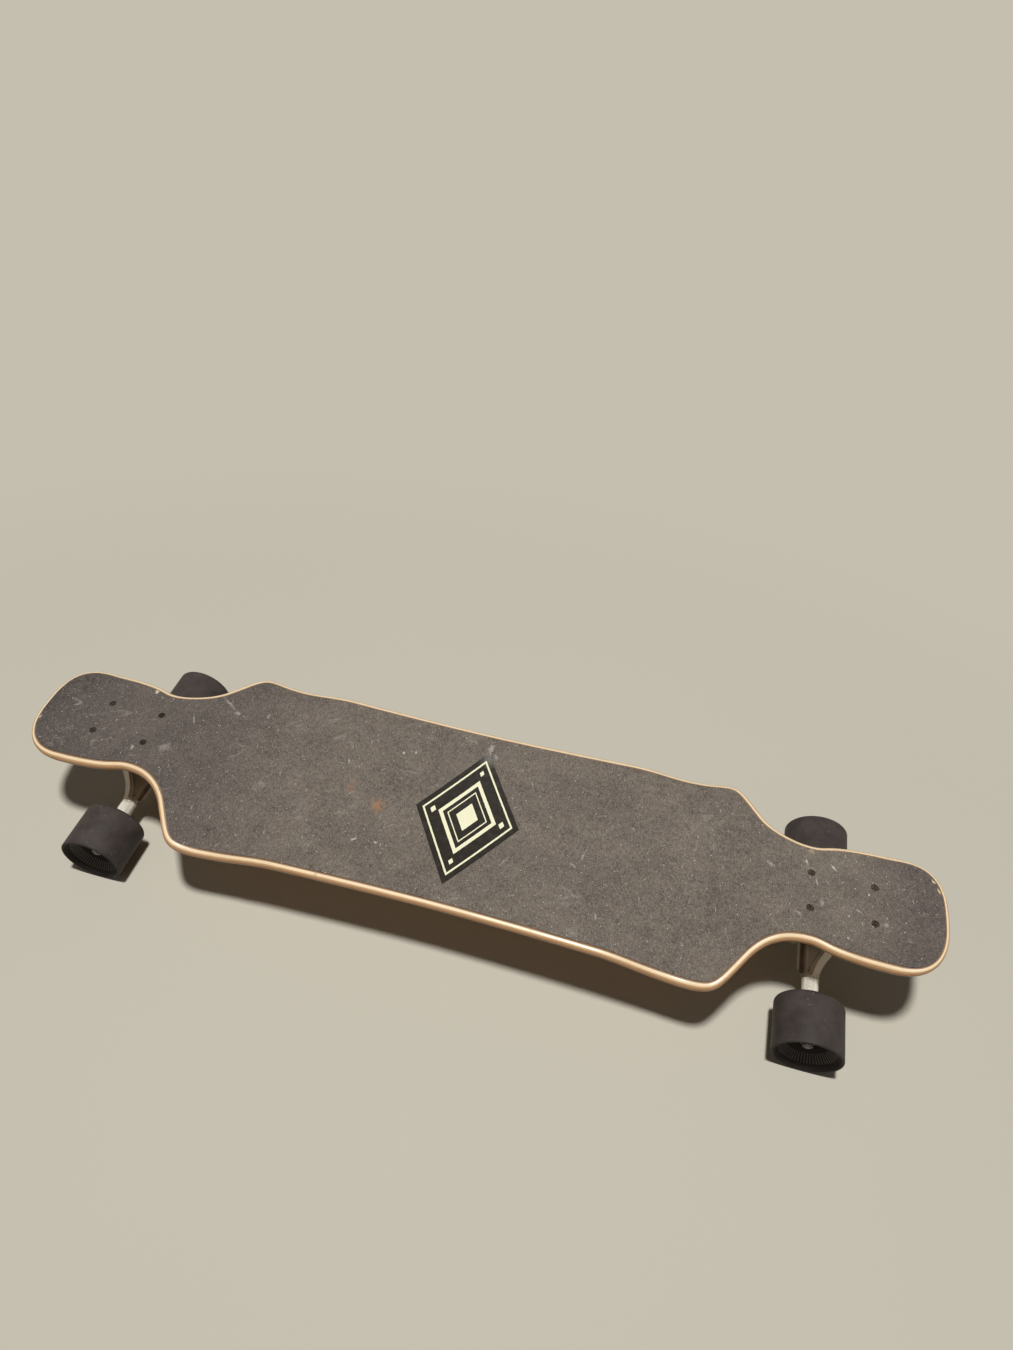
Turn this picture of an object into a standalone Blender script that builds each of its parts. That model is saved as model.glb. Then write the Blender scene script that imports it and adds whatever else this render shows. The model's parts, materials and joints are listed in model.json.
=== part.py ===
"""A drop-platform longboard: deck, grip sheet, label, two reverse-kingpin trucks and four wheels.

Sizes are in metres and angles in degrees. +X runs along the board to its front, +Y to its left and +Z up.
The origin is on the floor, under the middle of the board.
"""

import math

import bmesh
import bpy
import numpy as np
from mathutils import Matrix, Vector

# running gap between pieces that touch, the distance under which a Boolean's points are one, and how far a
# cutter runs past what it cuts
FIT = 0.0003
WELD = 0.000005
CUT_PAST = 0.02

# wheels
WHEEL_RADIUS = 0.035
WHEEL_WIDTH = 0.055
# how far the wheel's inner face lies inboard of its inner bearing
WHEEL_BACKSET = 0.0113
WHEEL_INNER_SHOULDER = 0.005
WHEEL_OUTER_SHOULDER = 0.003
# width of the tyre's face at each end, out to the tread, past which it is dished
WHEEL_INNER_FACE = 0.0085
WHEEL_OUTER_FACE = 0.0065
CORE_WALL = 0.0042
CORE_LIP = 0.001
CORE_SHOULDER = 0.0018
# the tyre's collar round the core's outer end, from which its face opens into a cone
COLLAR_WIDTH = 0.002
COLLAR_RISE = 0.003

# bearings, of the common 8 x 22 x 7 mm size
BEARING_BORE_RADIUS = 0.004
BEARING_RADIUS = 0.011
BEARING_WIDTH = 0.007
BEARING_SPACING = 0.010
RACE_WALL = 0.002
SHIELD_DEPTH = 0.0005

# axle and its nuts
AXLE_CHAMFER = 0.0006
AXLE_END_SPARE = 0.0014
AXLE_NUT_FLATS = 0.0127
AXLE_NUT_HEIGHT = 0.008

# every lock nut's form: its collar's widths as shares of its flats, its hexagon's share of its height
NUT_COLLAR_TOP = 0.84
NUT_COLLAR_FOOT = 0.92
NUT_HEXAGON_SHARE = 0.72
NUT_CHAMFER_ANGLE = 25.0

# trucks, the middle of each one's plate measured from the end of the board
TRUCK_SETBACK = 0.1005
AXLE_INBOARD = 0.007
PIVOT_ANGLE = 50.0
RAKE = 0.005
HANGER_WIDTH = 0.180
HANGER_BOSS_RADIUS = 0.0086
HANGER_BOSS_LENGTH = 0.037
HANGER_BODY_RADIUS = 0.0093
HANGER_BODY_STEP = 0.001
RING_DISTANCE = 0.044
RING_WALL = 0.0041
RING_FLOOR = 0.009
RING_RIM = 0.0025
RING_HOLE_GAP = 0.003
YOKE_TOP = 0.004
YOKE_BOTTOM = 0.009
YOKE_WAIST_X = 0.014
YOKE_WAIST_Y = 0.030
YOKE_FLANGE = 0.005
YOKE_INSIDE = 0.002
SPINE_WIDTH = 0.005
SPINE_TOP = 0.006
SPINE_PROUD = 0.0006
SPINE_TAPER = 0.008
POCKET_FLOOR = 0.0008
POCKET_RIB = 0.005
NOSE_RADIUS = 0.0054
NOSE_LENGTH = 0.009
NOSE_TIP = 0.0015
NOSE_SHOULDER = 0.0019

# baseplate
HOLES_ALONG = 0.0635
HOLES_ALONG_SHORT = 0.0540
HOLES_ACROSS = 0.0413
PLATE_END_MARGIN = 0.01125
PLATE_SIDE_MARGIN = 0.00785
PLATE_THICKNESS = 0.005
PLATE_CORNER = 0.008
# room between the wedge and the mounting nuts, and the wedge's and arm's ends from the plate's ends
NUT_ROOM = 0.0019
WEDGE_FRONT_INSET = 0.021
WEDGE_BACK_INSET = 0.009
WEDGE_BACK_DEPTH = 0.016
SEAT_MARGIN = 0.0005
SEAT_RISE = 0.002
ARM_WIDTH = 0.014
ARM_BACK_INSET = 0.005
ARM_ABOVE_PIVOT = 0.0064
ARM_BELOW_PIVOT = 0.0032
ARM_MOUTH_ABOVE_PIVOT = 0.0086
CASTING_CHAMFER = 0.0015
CUP_HOUSING_WALL = 0.0021
CUP_WALL = 0.0026
CUP_FLOOR = 0.0017

# kingpin, its bushings, washers and nut
KINGPIN_RADIUS = 0.00476
KINGPIN_HEAD_RADIUS = 0.0079
KINGPIN_HEAD_HEIGHT = 0.006
# depth of the casting that the kingpin clamps, and of its head under the plate's face
KINGPIN_GRIP = 0.0148
KINGPIN_HEAD_SUNK = 0.0028
KINGPIN_NUT_FLATS = 0.0143
KINGPIN_NUT_HEIGHT = 0.008
KINGPIN_END_SPARE = 0.003
KINGPIN_CHAMFER = 0.0008
BUSHING_RADIUS = 0.0123
BUSHING_HEIGHT = 0.0145
BUSHING_CHAMFER = 0.0015
CUP_WASHER_WALL = 0.0014
CUP_WASHER_THICKNESS = 0.0013
CUP_WASHER_LIP = 0.0028
CUP_WASHER_CHAMFER = 0.0015

# mounting bolts and nuts
BOLT_RADIUS = 0.0024
BOLT_HEAD_OVERHANG = 0.0020
BOLT_HEAD_SUNK = 0.0006
BOLT_HEAD_HEIGHT = 0.0027
BOLT_END_SPARE = 0.002
BOLT_DRIVE_RADIUS = 0.0022
BOLT_DRIVE_WIDTH = 0.0010
BOLT_DRIVE_DEPTH = 0.0015
BOLT_NUT_FLATS = 0.0095
BOLT_NUT_HEIGHT = 0.0055

# deck outline, one quarter of it: half-widths, and the knots' distances from the end of the board, so that a
# longer board has a longer middle
DECK_LENGTH = 1.006
DECK_THICKNESS = 0.0115
WAIST_HALF = 0.116
WAIST_REACH = 0.092
RAIL_FROM_END, RAIL_HALF, RAIL_ANGLE = 0.261, 0.1225, 4.2
RAIL_REACH_IN, CORNER_REACH = 0.014, 0.0526
CHEEK_FROM_END, CHEEK_HALF, CHEEK_ANGLE = 0.185, 0.0854, -55.9
CHEEK_REACH = 0.0108
NECK_FROM_END, NECK_HALF = 0.131, 0.0565
NECK_REACH_IN, NECK_REACH_OUT = 0.0323, 0.0169
TIP_LENGTH, SHOULDER_HALF, SHOULDER_REACH = 0.0513, 0.0655, 0.0656
TIP_ROUNDNESS = 2.7

# deck heights, and where they change, from the end of the board
DROP = 0.0225
DROP_START_FROM_END, DROP_LENGTH = 0.150, 0.100
CONCAVE = 0.0085
CONCAVE_START_FROM_END, CONCAVE_RUN = 0.258, 0.075
# the tips rise, and they are thinned from below
TIP_RISE_LENGTH = 0.057
TIP_RISE = 0.011
TIP_THICKNESS = 0.0078

# width of the deck's rounded edge, which the grip sheet leaves bare
EDGE_WIDTH = 0.0067
TIP_EDGE_WIDTH = 0.0040

# grip sheet and label
GRIP_THICKNESS = 0.0009
GRIP_HOLE_RADIUS = 0.0040
LABEL_X = 0.006
LABEL_ALONG = 0.118
LABEL_ACROSS = 0.177
LABEL_THICKNESS = 0.0003

# facets, and the angle from which an edge between them is a corner
SHARP_ANGLE = 35.0
TYRE_STEPS = 32
ROUND_STEPS = 18
SMALL_STEPS = 14
BOLT_STEPS = 10
ARC_STEPS = 2
RAIL_POINTS, CORNER_POINTS, CHEEK_POINTS, SHOULDER_POINTS, TIP_POINTS = 5, 7, 4, 5, 7
ACROSS_CELLS = 6
RIM_STEPS = 4
YOKE_POINTS = 7

# across the board, from the hanger's end outwards
AXLE_RADIUS = BEARING_BORE_RADIUS - FIT
HANGER_END = HANGER_WIDTH / 2
HANGER_BOSS_START = HANGER_END - HANGER_BOSS_LENGTH
INNER_BEARING_Y = HANGER_END + FIT
OUTER_BEARING_Y = INNER_BEARING_Y + BEARING_WIDTH + BEARING_SPACING
BEARINGS_END_Y = OUTER_BEARING_Y + BEARING_WIDTH
AXLE_NUT_Y = BEARINGS_END_Y + FIT
AXLE_HALF = AXLE_NUT_Y + AXLE_NUT_HEIGHT + AXLE_END_SPARE
WHEEL_INNER_Y = INNER_BEARING_Y - WHEEL_BACKSET
WHEEL_OUTER_Y = WHEEL_INNER_Y + WHEEL_WIDTH
CORE_RADIUS = BEARING_RADIUS + FIT + CORE_WALL

# along the pivot axis from the middle of the axle's body, and round it
NOSE_NECK = HANGER_BODY_RADIUS - FIT
NOSE_END = NOSE_NECK + NOSE_LENGTH
CUP_MOUTH = NOSE_NECK + NOSE_SHOULDER + FIT
CUP_RADIUS = NOSE_RADIUS + FIT + CUP_WALL

# along the kingpin from the middle of the hanger's ring, and round it
RING_SEAT_RADIUS = BUSHING_RADIUS + 2 * FIT
RING_RADIUS = RING_SEAT_RADIUS + RING_WALL
RING_HEIGHT = RING_FLOOR + 2 * RING_RIM
RING_HOLE_RADIUS = KINGPIN_RADIUS + RING_HOLE_GAP
CUP_WASHER_RADIUS = BUSHING_RADIUS + FIT + CUP_WASHER_WALL
SEAT_RADIUS = CUP_WASHER_RADIUS + SEAT_MARGIN
BUSHING_START = RING_FLOOR / 2 + FIT
BUSHING_END = BUSHING_START + BUSHING_HEIGHT
WASHER_START = BUSHING_END + FIT
WASHER_END = WASHER_START + CUP_WASHER_THICKNESS
SEAT_Z = WASHER_END + FIT
KINGPIN_NUT_END = SEAT_Z + KINGPIN_NUT_HEIGHT
KINGPIN_HEAD_SEAT = SEAT_Z + KINGPIN_GRIP
KINGPIN_HEAD_TOP = KINGPIN_HEAD_SEAT + FIT + KINGPIN_HEAD_HEIGHT

# heights: the plate's face clears the kingpin's leaning head, and the deck lies on it
PIVOT_RADIANS = math.radians(PIVOT_ANGLE)
TRUCK_HEIGHT = (
    (RAKE + KINGPIN_HEAD_TOP) * math.cos(PIVOT_RADIANS)
    + (RING_DISTANCE + KINGPIN_HEAD_RADIUS) * math.sin(PIVOT_RADIANS)
    + KINGPIN_HEAD_SUNK
)
PLATE_FACE_Z = WHEEL_RADIUS + TRUCK_HEIGHT
DECK_UNDERSIDE_Z = PLATE_FACE_Z + FIT
DECK_TOP_Z = DECK_UNDERSIDE_Z + DECK_THICKNESS
GRIP_BOTTOM_LIFT = FIT
GRIP_TOP_LIFT = GRIP_BOTTOM_LIFT + GRIP_THICKNESS

# along the board from its middle
DECK_END = DECK_LENGTH / 2
TRUCK_X = DECK_END - TRUCK_SETBACK
RAIL_X = DECK_END - RAIL_FROM_END
CHEEK_X = DECK_END - CHEEK_FROM_END
NECK_X = DECK_END - NECK_FROM_END
SHOULDER_X = DECK_END - TIP_LENGTH
DROP_START_X = DECK_END - DROP_START_FROM_END
CONCAVE_START_X = DECK_END - CONCAVE_START_FROM_END

# baseplate and bolt heads
PLATE_LENGTH = HOLES_ALONG + 2 * PLATE_END_MARGIN
PLATE_WIDTH = HOLES_ACROSS + 2 * PLATE_SIDE_MARGIN
WEDGE_WIDTH = HOLES_ACROSS - BOLT_NUT_FLATS - 2 * NUT_ROOM
WEDGE_FRONT = PLATE_LENGTH / 2 - WEDGE_FRONT_INSET
WEDGE_BACK = PLATE_LENGTH / 2 - WEDGE_BACK_INSET
ARM_BACK = PLATE_LENGTH / 2 - ARM_BACK_INSET
BOLT_HEAD_RADIUS = BOLT_RADIUS + BOLT_HEAD_OVERHANG


def smooth_step(value):
    """0 below 0, 1 above 1, and a smooth S between."""
    t = np.clip(value, 0.0, 1.0)
    return t * t * (3.0 - 2.0 * t)


def clear_scene():
    for obj in list(bpy.data.objects):
        bpy.data.objects.remove(obj, do_unlink=True)


def new_collection(name):
    collection = bpy.data.collections.new(name)
    bpy.context.scene.collection.children.link(collection)
    return collection


def new_material(name, colour, roughness, metallic):
    material = bpy.data.materials.new(name)
    material.use_nodes = True
    shader = material.node_tree.nodes["Principled BSDF"]
    shader.inputs["Base Color"].default_value = (*colour, 1.0)
    shader.inputs["Roughness"].default_value = roughness
    shader.inputs["Metallic"].default_value = metallic
    return material


clear_scene()
BOARD = new_collection("longboard")
CUTTERS = new_collection("cutters")
CUTTERS.hide_render = True

MAPLE = new_material("maple", (0.70, 0.50, 0.31), 0.35, 0.0)
GRIT = new_material("grip_sheet", (0.19, 0.17, 0.15), 0.95, 0.0)
PRINT = new_material("printed_label", (0.03, 0.03, 0.03), 0.4, 0.0)
CAST = new_material("cast_aluminium", (0.45, 0.43, 0.41), 0.5, 1.0)
STEEL = new_material("plated_steel", (0.55, 0.55, 0.56), 0.3, 1.0)
BLACK_STEEL = new_material("black_steel", (0.04, 0.04, 0.04), 0.45, 1.0)
URETHANE = new_material("wheel_urethane", (0.055, 0.05, 0.055), 0.45, 0.0)
BUSHING = new_material("bushing_urethane", (0.10, 0.10, 0.11), 0.5, 0.0)
CORE = new_material("core_nylon", (0.03, 0.03, 0.03), 0.5, 0.0)
SHIELD = new_material("bearing_steel", (0.5, 0.5, 0.5), 0.25, 1.0)


def frame(name, parent=None, matrix=None):
    """An empty whose axes the pieces of a sub-assembly share."""
    empty = bpy.data.objects.new(name, None)
    BOARD.objects.link(empty)
    empty.parent = parent
    empty.matrix_local = matrix or Matrix()
    return empty


def add_object(name, mesh, parent, material, matrix=None):
    obj = bpy.data.objects.new(name, mesh)
    BOARD.objects.link(obj)
    obj.parent = parent
    obj.matrix_local = matrix or Matrix()
    if material:
        mesh.materials.append(material)
    return obj


def make_cutter(obj):
    """Moves a shape to the cutters: it stays out of the model and its renders."""
    BOARD.objects.unlink(obj)
    CUTTERS.objects.link(obj)
    obj.hide_render = True
    obj.display_type = "WIRE"
    return obj


def combine(obj, operation, *others):
    """A live Boolean for each other shape, which joins the cutters' collection."""
    for other in others:
        boolean = obj.modifiers.new(other.name, "BOOLEAN")
        boolean.operation = operation
        boolean.solver = "EXACT"
        boolean.object = make_cutter(other)
        weld = obj.modifiers.new(other.name + "_weld", "WELD")
        weld.merge_threshold = WELD
    return obj


def mesh_of(points, faces):
    mesh = bpy.data.meshes.new("shape")
    mesh.from_pydata([tuple(map(float, point)) for point in points], [], faces)
    mesh.update()
    return mesh


def turned(name, profile, steps, parent, material, matrix=None, start_angle=0.0):
    """A profile of (radius, height) points, outer side running downwards, turned about local Z.

    A profile that starts and ends on the axis is left open, and any other is closed into a ring.
    """
    turn = Matrix.Rotation(start_angle, 3, "Z")
    points = [turn @ Vector((radius, 0.0, height)) for radius, height in profile]
    solid = profile[0][0] == 0.0
    last = len(points)
    edges = [(i, i + 1) for i in range(last - 1)] + ([] if solid else [(last - 1, 0)])
    mesh = bpy.data.meshes.new(name)
    mesh.from_pydata(points, edges, [])
    obj = add_object(name, mesh, parent, material, matrix)
    screw = obj.modifiers.new("turn", "SCREW")
    screw.axis = "Z"
    screw.steps = screw.render_steps = steps
    screw.use_merge_vertices = True
    screw.merge_threshold = WELD
    return obj


def cylinder(name, radius, low, high, parent, matrix=None, steps=ROUND_STEPS, material=None):
    """A plain cylinder along local Z, from height low to height high."""
    profile = [(0.0, high), (radius, high), (radius, low), (0.0, low)]
    return turned(name, profile, steps, parent, material, matrix)


def prism(name, outline, low, high, parent, material=None, matrix=None, chamfer=0.0):
    """A closed outline of (x, y) points, counter-clockwise, extruded along local Z."""
    shape = bmesh.new()
    face = shape.faces.new([shape.verts.new((x, y, low)) for x, y in outline])
    face.normal_update()
    grown = bmesh.ops.extrude_face_region(shape, geom=[face])
    moved = [item for item in grown["geom"] if isinstance(item, bmesh.types.BMVert)]
    bmesh.ops.translate(shape, verts=moved, vec=(0.0, 0.0, high - low))
    bmesh.ops.recalc_face_normals(shape, faces=shape.faces[:])
    if chamfer:
        bmesh.ops.bevel(
            shape,
            geom=shape.edges[:],
            offset=chamfer,
            offset_type="OFFSET",
            segments=1,
            affect="EDGES",
            clamp_overlap=True,
        )
    mesh = bpy.data.meshes.new(name)
    shape.to_mesh(mesh)
    shape.free()
    return add_object(name, mesh, parent, material, matrix)


def hexagon(flats):
    radius = flats / math.sqrt(3.0)
    corners = [math.radians(60 * i) for i in range(6)]
    return [(radius * math.cos(angle), radius * math.sin(angle)) for angle in corners]


def hex_nut(name, flats, height, hole_radius, parent, matrix, material):
    """A lock nut standing on local z = 0: a hexagon with turned corners, a collar and its hole."""
    nut = prism(name, hexagon(flats), 0.0, height, parent, material, matrix)
    top = flats / 2 * NUT_COLLAR_TOP
    foot = flats / 2 * NUT_COLLAR_FOOT
    collar = height * NUT_HEXAGON_SHARE
    outside = flats
    profile = [
        (0.0, height + CUT_PAST),
        (top, height + CUT_PAST),
        (top, height),
        (foot, collar),
        (outside, collar - (outside - foot) * math.tan(math.radians(NUT_CHAMFER_ANGLE))),
        (outside, -CUT_PAST),
        (0.0, -CUT_PAST),
    ]
    round_off = turned(name + "_round", profile, ROUND_STEPS, parent, None, matrix)
    hole = cylinder(name + "_hole", hole_radius, -CUT_PAST, height + CUT_PAST, parent, matrix, BOLT_STEPS)
    combine(nut, "INTERSECT", round_off)
    return combine(nut, "DIFFERENCE", hole)


def arc(centre, radius, start, end, steps=ARC_STEPS):
    """Points of a circle's arc, angles in degrees, both ends included."""
    angles = np.radians(np.linspace(start, end, steps + 1))
    return [(centre[0] + radius * math.cos(a), centre[1] + radius * math.sin(a)) for a in angles]


def bezier(start, handle_start, handle_end, end, count):
    """Points of a cubic Bezier curve, without its last one."""
    t = np.linspace(0.0, 1.0, count, endpoint=False)[:, None]
    a, b, c, d = (np.array(point) for point in (start, handle_start, handle_end, end))
    return (1 - t) ** 3 * a + 3 * (1 - t) ** 2 * t * b + 3 * (1 - t) * t**2 * c + t**3 * d


def along(point, angle, reach):
    """The point at a distance from another, in a direction given in degrees."""
    turn = math.radians(angle)
    return (point[0] + reach * math.cos(turn), point[1] + reach * math.sin(turn))


def quarter_outline():
    """The deck's edge in plan from the middle of its left side to the tip, as (x, y) points."""
    waist = (0.0, WAIST_HALF)
    rail = (RAIL_X, RAIL_HALF)
    cheek = (CHEEK_X, CHEEK_HALF)
    neck = (NECK_X, NECK_HALF)
    shoulder = (SHOULDER_X, SHOULDER_HALF)
    after_waist = along(waist, 0, WAIST_REACH)
    before_rail = along(rail, RAIL_ANGLE, -RAIL_REACH_IN)
    after_rail = along(rail, RAIL_ANGLE, CORNER_REACH)
    before_cheek = along(cheek, CHEEK_ANGLE, -CORNER_REACH)
    after_cheek = along(cheek, CHEEK_ANGLE, CHEEK_REACH)
    before_neck = along(neck, 0, -NECK_REACH_IN)
    after_neck = along(neck, 0, NECK_REACH_OUT)
    before_shoulder = along(shoulder, 0, -SHOULDER_REACH)
    runs = [
        bezier(waist, after_waist, before_rail, rail, RAIL_POINTS),
        bezier(rail, after_rail, before_cheek, cheek, CORNER_POINTS),
        bezier(cheek, after_cheek, before_neck, neck, CHEEK_POINTS),
        bezier(neck, after_neck, before_shoulder, shoulder, SHOULDER_POINTS),
    ]
    turn = np.linspace(math.pi / 2, 0.0, TIP_POINTS + 1)
    power = 2.0 / TIP_ROUNDNESS
    tip_x = SHOULDER_X + TIP_LENGTH * np.abs(np.cos(turn)) ** power
    tip_y = SHOULDER_HALF * np.abs(np.sin(turn)) ** power
    tip_y[-1] = 0.0
    runs.append(np.stack([tip_x, tip_y], axis=1))
    return np.concatenate(runs)


def closed_outline():
    """The whole edge from the rear tip along the left side to the front tip, and back along the right."""
    quarter = quarter_outline()
    left = np.concatenate([quarter[::-1] * (-1, 1), quarter[1:]])
    return np.concatenate([left, left[-2:0:-1] * (1, -1)])


def past_tip_start(x):
    """How far along a tip a point lies: 0 up to the tip's start, and 1 at the end of the board."""
    return np.maximum(np.abs(x) - DECK_END + TIP_RISE_LENGTH, 0.0) / TIP_RISE_LENGTH


def inset(outline, share):
    """The closed outline moved inwards along its normals, by a share of the rounded edge's width."""
    tangent = np.roll(outline, -1, axis=0) - np.roll(outline, 1, axis=0)
    tangent /= np.linalg.norm(tangent, axis=1)[:, None]
    inward = np.stack([tangent[:, 1], -tangent[:, 0]], axis=1)
    narrowing = smooth_step(past_tip_start(outline[:, :1]))
    return outline + inward * share * (EDGE_WIDTH + (TIP_EDGE_WIDTH - EDGE_WIDTH) * narrowing)


def surface_height(x, y):
    """Height of the deck's top: flat at the trucks, a dropped platform with raised rails, and raised tips."""
    along_x = np.abs(x)
    drop = DROP * smooth_step((DROP_START_X - along_x) / DROP_LENGTH)
    bowl = CONCAVE * smooth_step((CONCAVE_START_X - along_x) / CONCAVE_RUN)
    return DECK_TOP_Z - drop + bowl * (y / WAIST_HALF) ** 2 + TIP_RISE * past_tip_start(x) ** 2


def thickness(x):
    return DECK_THICKNESS + (TIP_THICKNESS - DECK_THICKNESS) * smooth_step(past_tip_start(x))


def on_surface(flat, lift, depth=0.0):
    """Flat (x, y) points set below the deck's top by a share of its thickness, and then lifted."""
    x, y = flat[:, 0], flat[:, 1]
    return np.stack([x, y, surface_height(x, y) - depth * thickness(x) + lift], axis=1)


def halves(cell, flip=False):
    """A cell of four corners as triangles, cut along its first diagonal, with repeated corners left out."""
    triangles = [(cell[0], cell[1], cell[2]), (cell[0], cell[2], cell[3])]
    triangles = [triangle for triangle in triangles if len(set(triangle)) == 3]
    return [triangle[::-1] for triangle in triangles] if flip else triangles


def skin(rims, levels):
    """A closed sheet that follows the deck: a top and a bottom of cells across the board, joined by rims.

    rims are closed outlines of as many points, from the top's edge to the bottom's, and levels their (lift,
    depth) from the deck's top. Sheets that share a rim have the same cells there, so they lie on each other.
    """
    count = len(rims[0])
    half = count // 2
    points = [on_surface(rim, *level) for rim, level in zip(rims, levels)]
    faces = []
    for ring in range(len(rims) - 1):
        upper, lower = ring * count, (ring + 1) * count
        for i in range(count):
            after = (i + 1) % count
            faces += halves([upper + i, upper + after, lower + after, lower + i])
    start = len(rims) * count
    for which, flip in ((0, False), (len(rims) - 1, True)):
        rim = rims[which]
        rows = []
        for i in range(half + 1):
            left = which * count + i
            right = which * count + (count - i) % count
            if left == right:
                rows.append([left] * (ACROSS_CELLS + 1))
                continue
            share = np.linspace(0.0, 1.0, ACROSS_CELLS + 1)[1:-1, None]
            between = rim[i] * (1 - share) + rim[(count - i) % count] * share
            points.append(on_surface(between, *levels[which]))
            rows.append([left, *range(start, start + ACROSS_CELLS - 1), right])
            start += ACROSS_CELLS - 1
        for back, front in zip(rows, rows[1:]):
            for j in range(ACROSS_CELLS):
                faces += halves([back[j], back[j + 1], front[j + 1], front[j]], flip)
    return mesh_of(np.concatenate(points), faces)


def hole_places():
    """The eight mounting holes as (truck's name, turn, x, y) in the board's frame."""
    places = []
    for truck, turn in (("front", 1), ("rear", -1)):
        for x in (-HOLES_ALONG / 2, HOLES_ALONG / 2):
            for y in (-HOLES_ACROSS / 2, HOLES_ACROSS / 2):
                places.append((truck, turn, turn * (TRUCK_X + x), turn * y))
    return places


def make_deck(board):
    outline = closed_outline()
    angles = np.linspace(0.0, math.pi, RIM_STEPS + 1)
    rims = [inset(outline, 1 - math.sin(a)) for a in angles]
    levels = [(0.0, (1 - math.cos(a)) / 2) for a in angles]
    deck = add_object("deck", skin(rims, levels), board, MAPLE)
    head = BOLT_HEAD_RADIUS + FIT
    shank = BOLT_RADIUS + FIT
    cone_bottom = -BOLT_HEAD_SUNK - BOLT_HEAD_HEIGHT - FIT
    profile = [
        (0.0, CUT_PAST),
        (head, CUT_PAST),
        (head, -BOLT_HEAD_SUNK - FIT),
        (shank, cone_bottom),
        (shank, -DECK_THICKNESS - CUT_PAST),
        (0.0, -DECK_THICKNESS - CUT_PAST),
    ]
    for index, (_, _, x, y) in enumerate(hole_places()):
        place = Matrix.Translation((x, y, DECK_TOP_Z))
        hole = turned(f"deck_hole_{index}", profile, BOLT_STEPS, board, None, place)
        combine(deck, "DIFFERENCE", hole)
    return deck


def make_grip(board):
    rim = inset(closed_outline(), 1.0)
    sheet = skin([rim, rim], [(GRIP_TOP_LIFT, 0.0), (GRIP_BOTTOM_LIFT, 0.0)])
    grip = add_object("grip_sheet", sheet, board, GRIT)
    for index, (_, _, x, y) in enumerate(hole_places()):
        place = Matrix.Translation((x, y, DECK_TOP_Z))
        hole = cylinder(f"grip_hole_{index}", GRIP_HOLE_RADIUS, -CUT_PAST, CUT_PAST, board, place, BOLT_STEPS)
        combine(grip, "DIFFERENCE", hole)
    return grip


def make_label(board):
    """A thin diamond that lies on the grip sheet, its long diagonal across the board.

    Its rows of points lie along the grip sheet's own cells, so that the two bend at the same places.
    """
    reach = LABEL_ACROSS / 2
    cell = 2 * (WAIST_HALF - EDGE_WIDTH) / ACROSS_CELLS
    lines = [cell * step for step in range(math.ceil(reach / cell))]
    stations = [-y for y in lines[:0:-1]] + lines
    forward = [(LABEL_X + (1 - abs(y) / reach) * LABEL_ALONG / 2, y) for y in stations]
    back = [(2 * LABEL_X - x, y) for x, y in forward]
    flat = np.array([(LABEL_X, -reach), *forward, (LABEL_X, reach), *back[::-1]])
    count = len(flat)
    bottom_lift = GRIP_TOP_LIFT + FIT
    points = np.concatenate([on_surface(flat, bottom_lift + LABEL_THICKNESS), on_surface(flat, bottom_lift)])
    faces = []
    for i in range(count // 2):
        cell_corners = [-i % count, i, i + 1, -i - 1 + count]
        faces += halves(cell_corners)
        faces += halves([corner + count for corner in cell_corners], True)
    for i in range(count):
        after = (i + 1) % count
        faces += halves([i, i + count, after + count, after])
    return add_object("label", mesh_of(points, faces), board, PRINT)


def side_plane():
    """Turns a prism's outline (x, y) into the truck's (x, z), and its height into -y."""
    return Matrix.Rotation(math.radians(90), 4, "X")


def pivot_point(x, z):
    """A point of the pivot frame, (along the pivot axis, towards the board), as the truck's (x, z)."""
    sine, cosine = math.sin(PIVOT_RADIANS), math.cos(PIVOT_RADIANS)
    origin_x = -AXLE_INBOARD - RAKE * sine
    origin_z = -TRUCK_HEIGHT + RAKE * cosine
    return (origin_x + x * cosine - z * sine, origin_z + x * sine + z * cosine)


def rounded_rectangle(length, width, radius):
    x, y = length / 2 - radius, width / 2 - radius
    corners = (((x, y), 0), ((-x, y), 90), ((-x, -y), 180), ((x, -y), 270))
    return [point for centre, angle in corners for point in arc(centre, radius, angle, angle + 90)]


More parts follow.
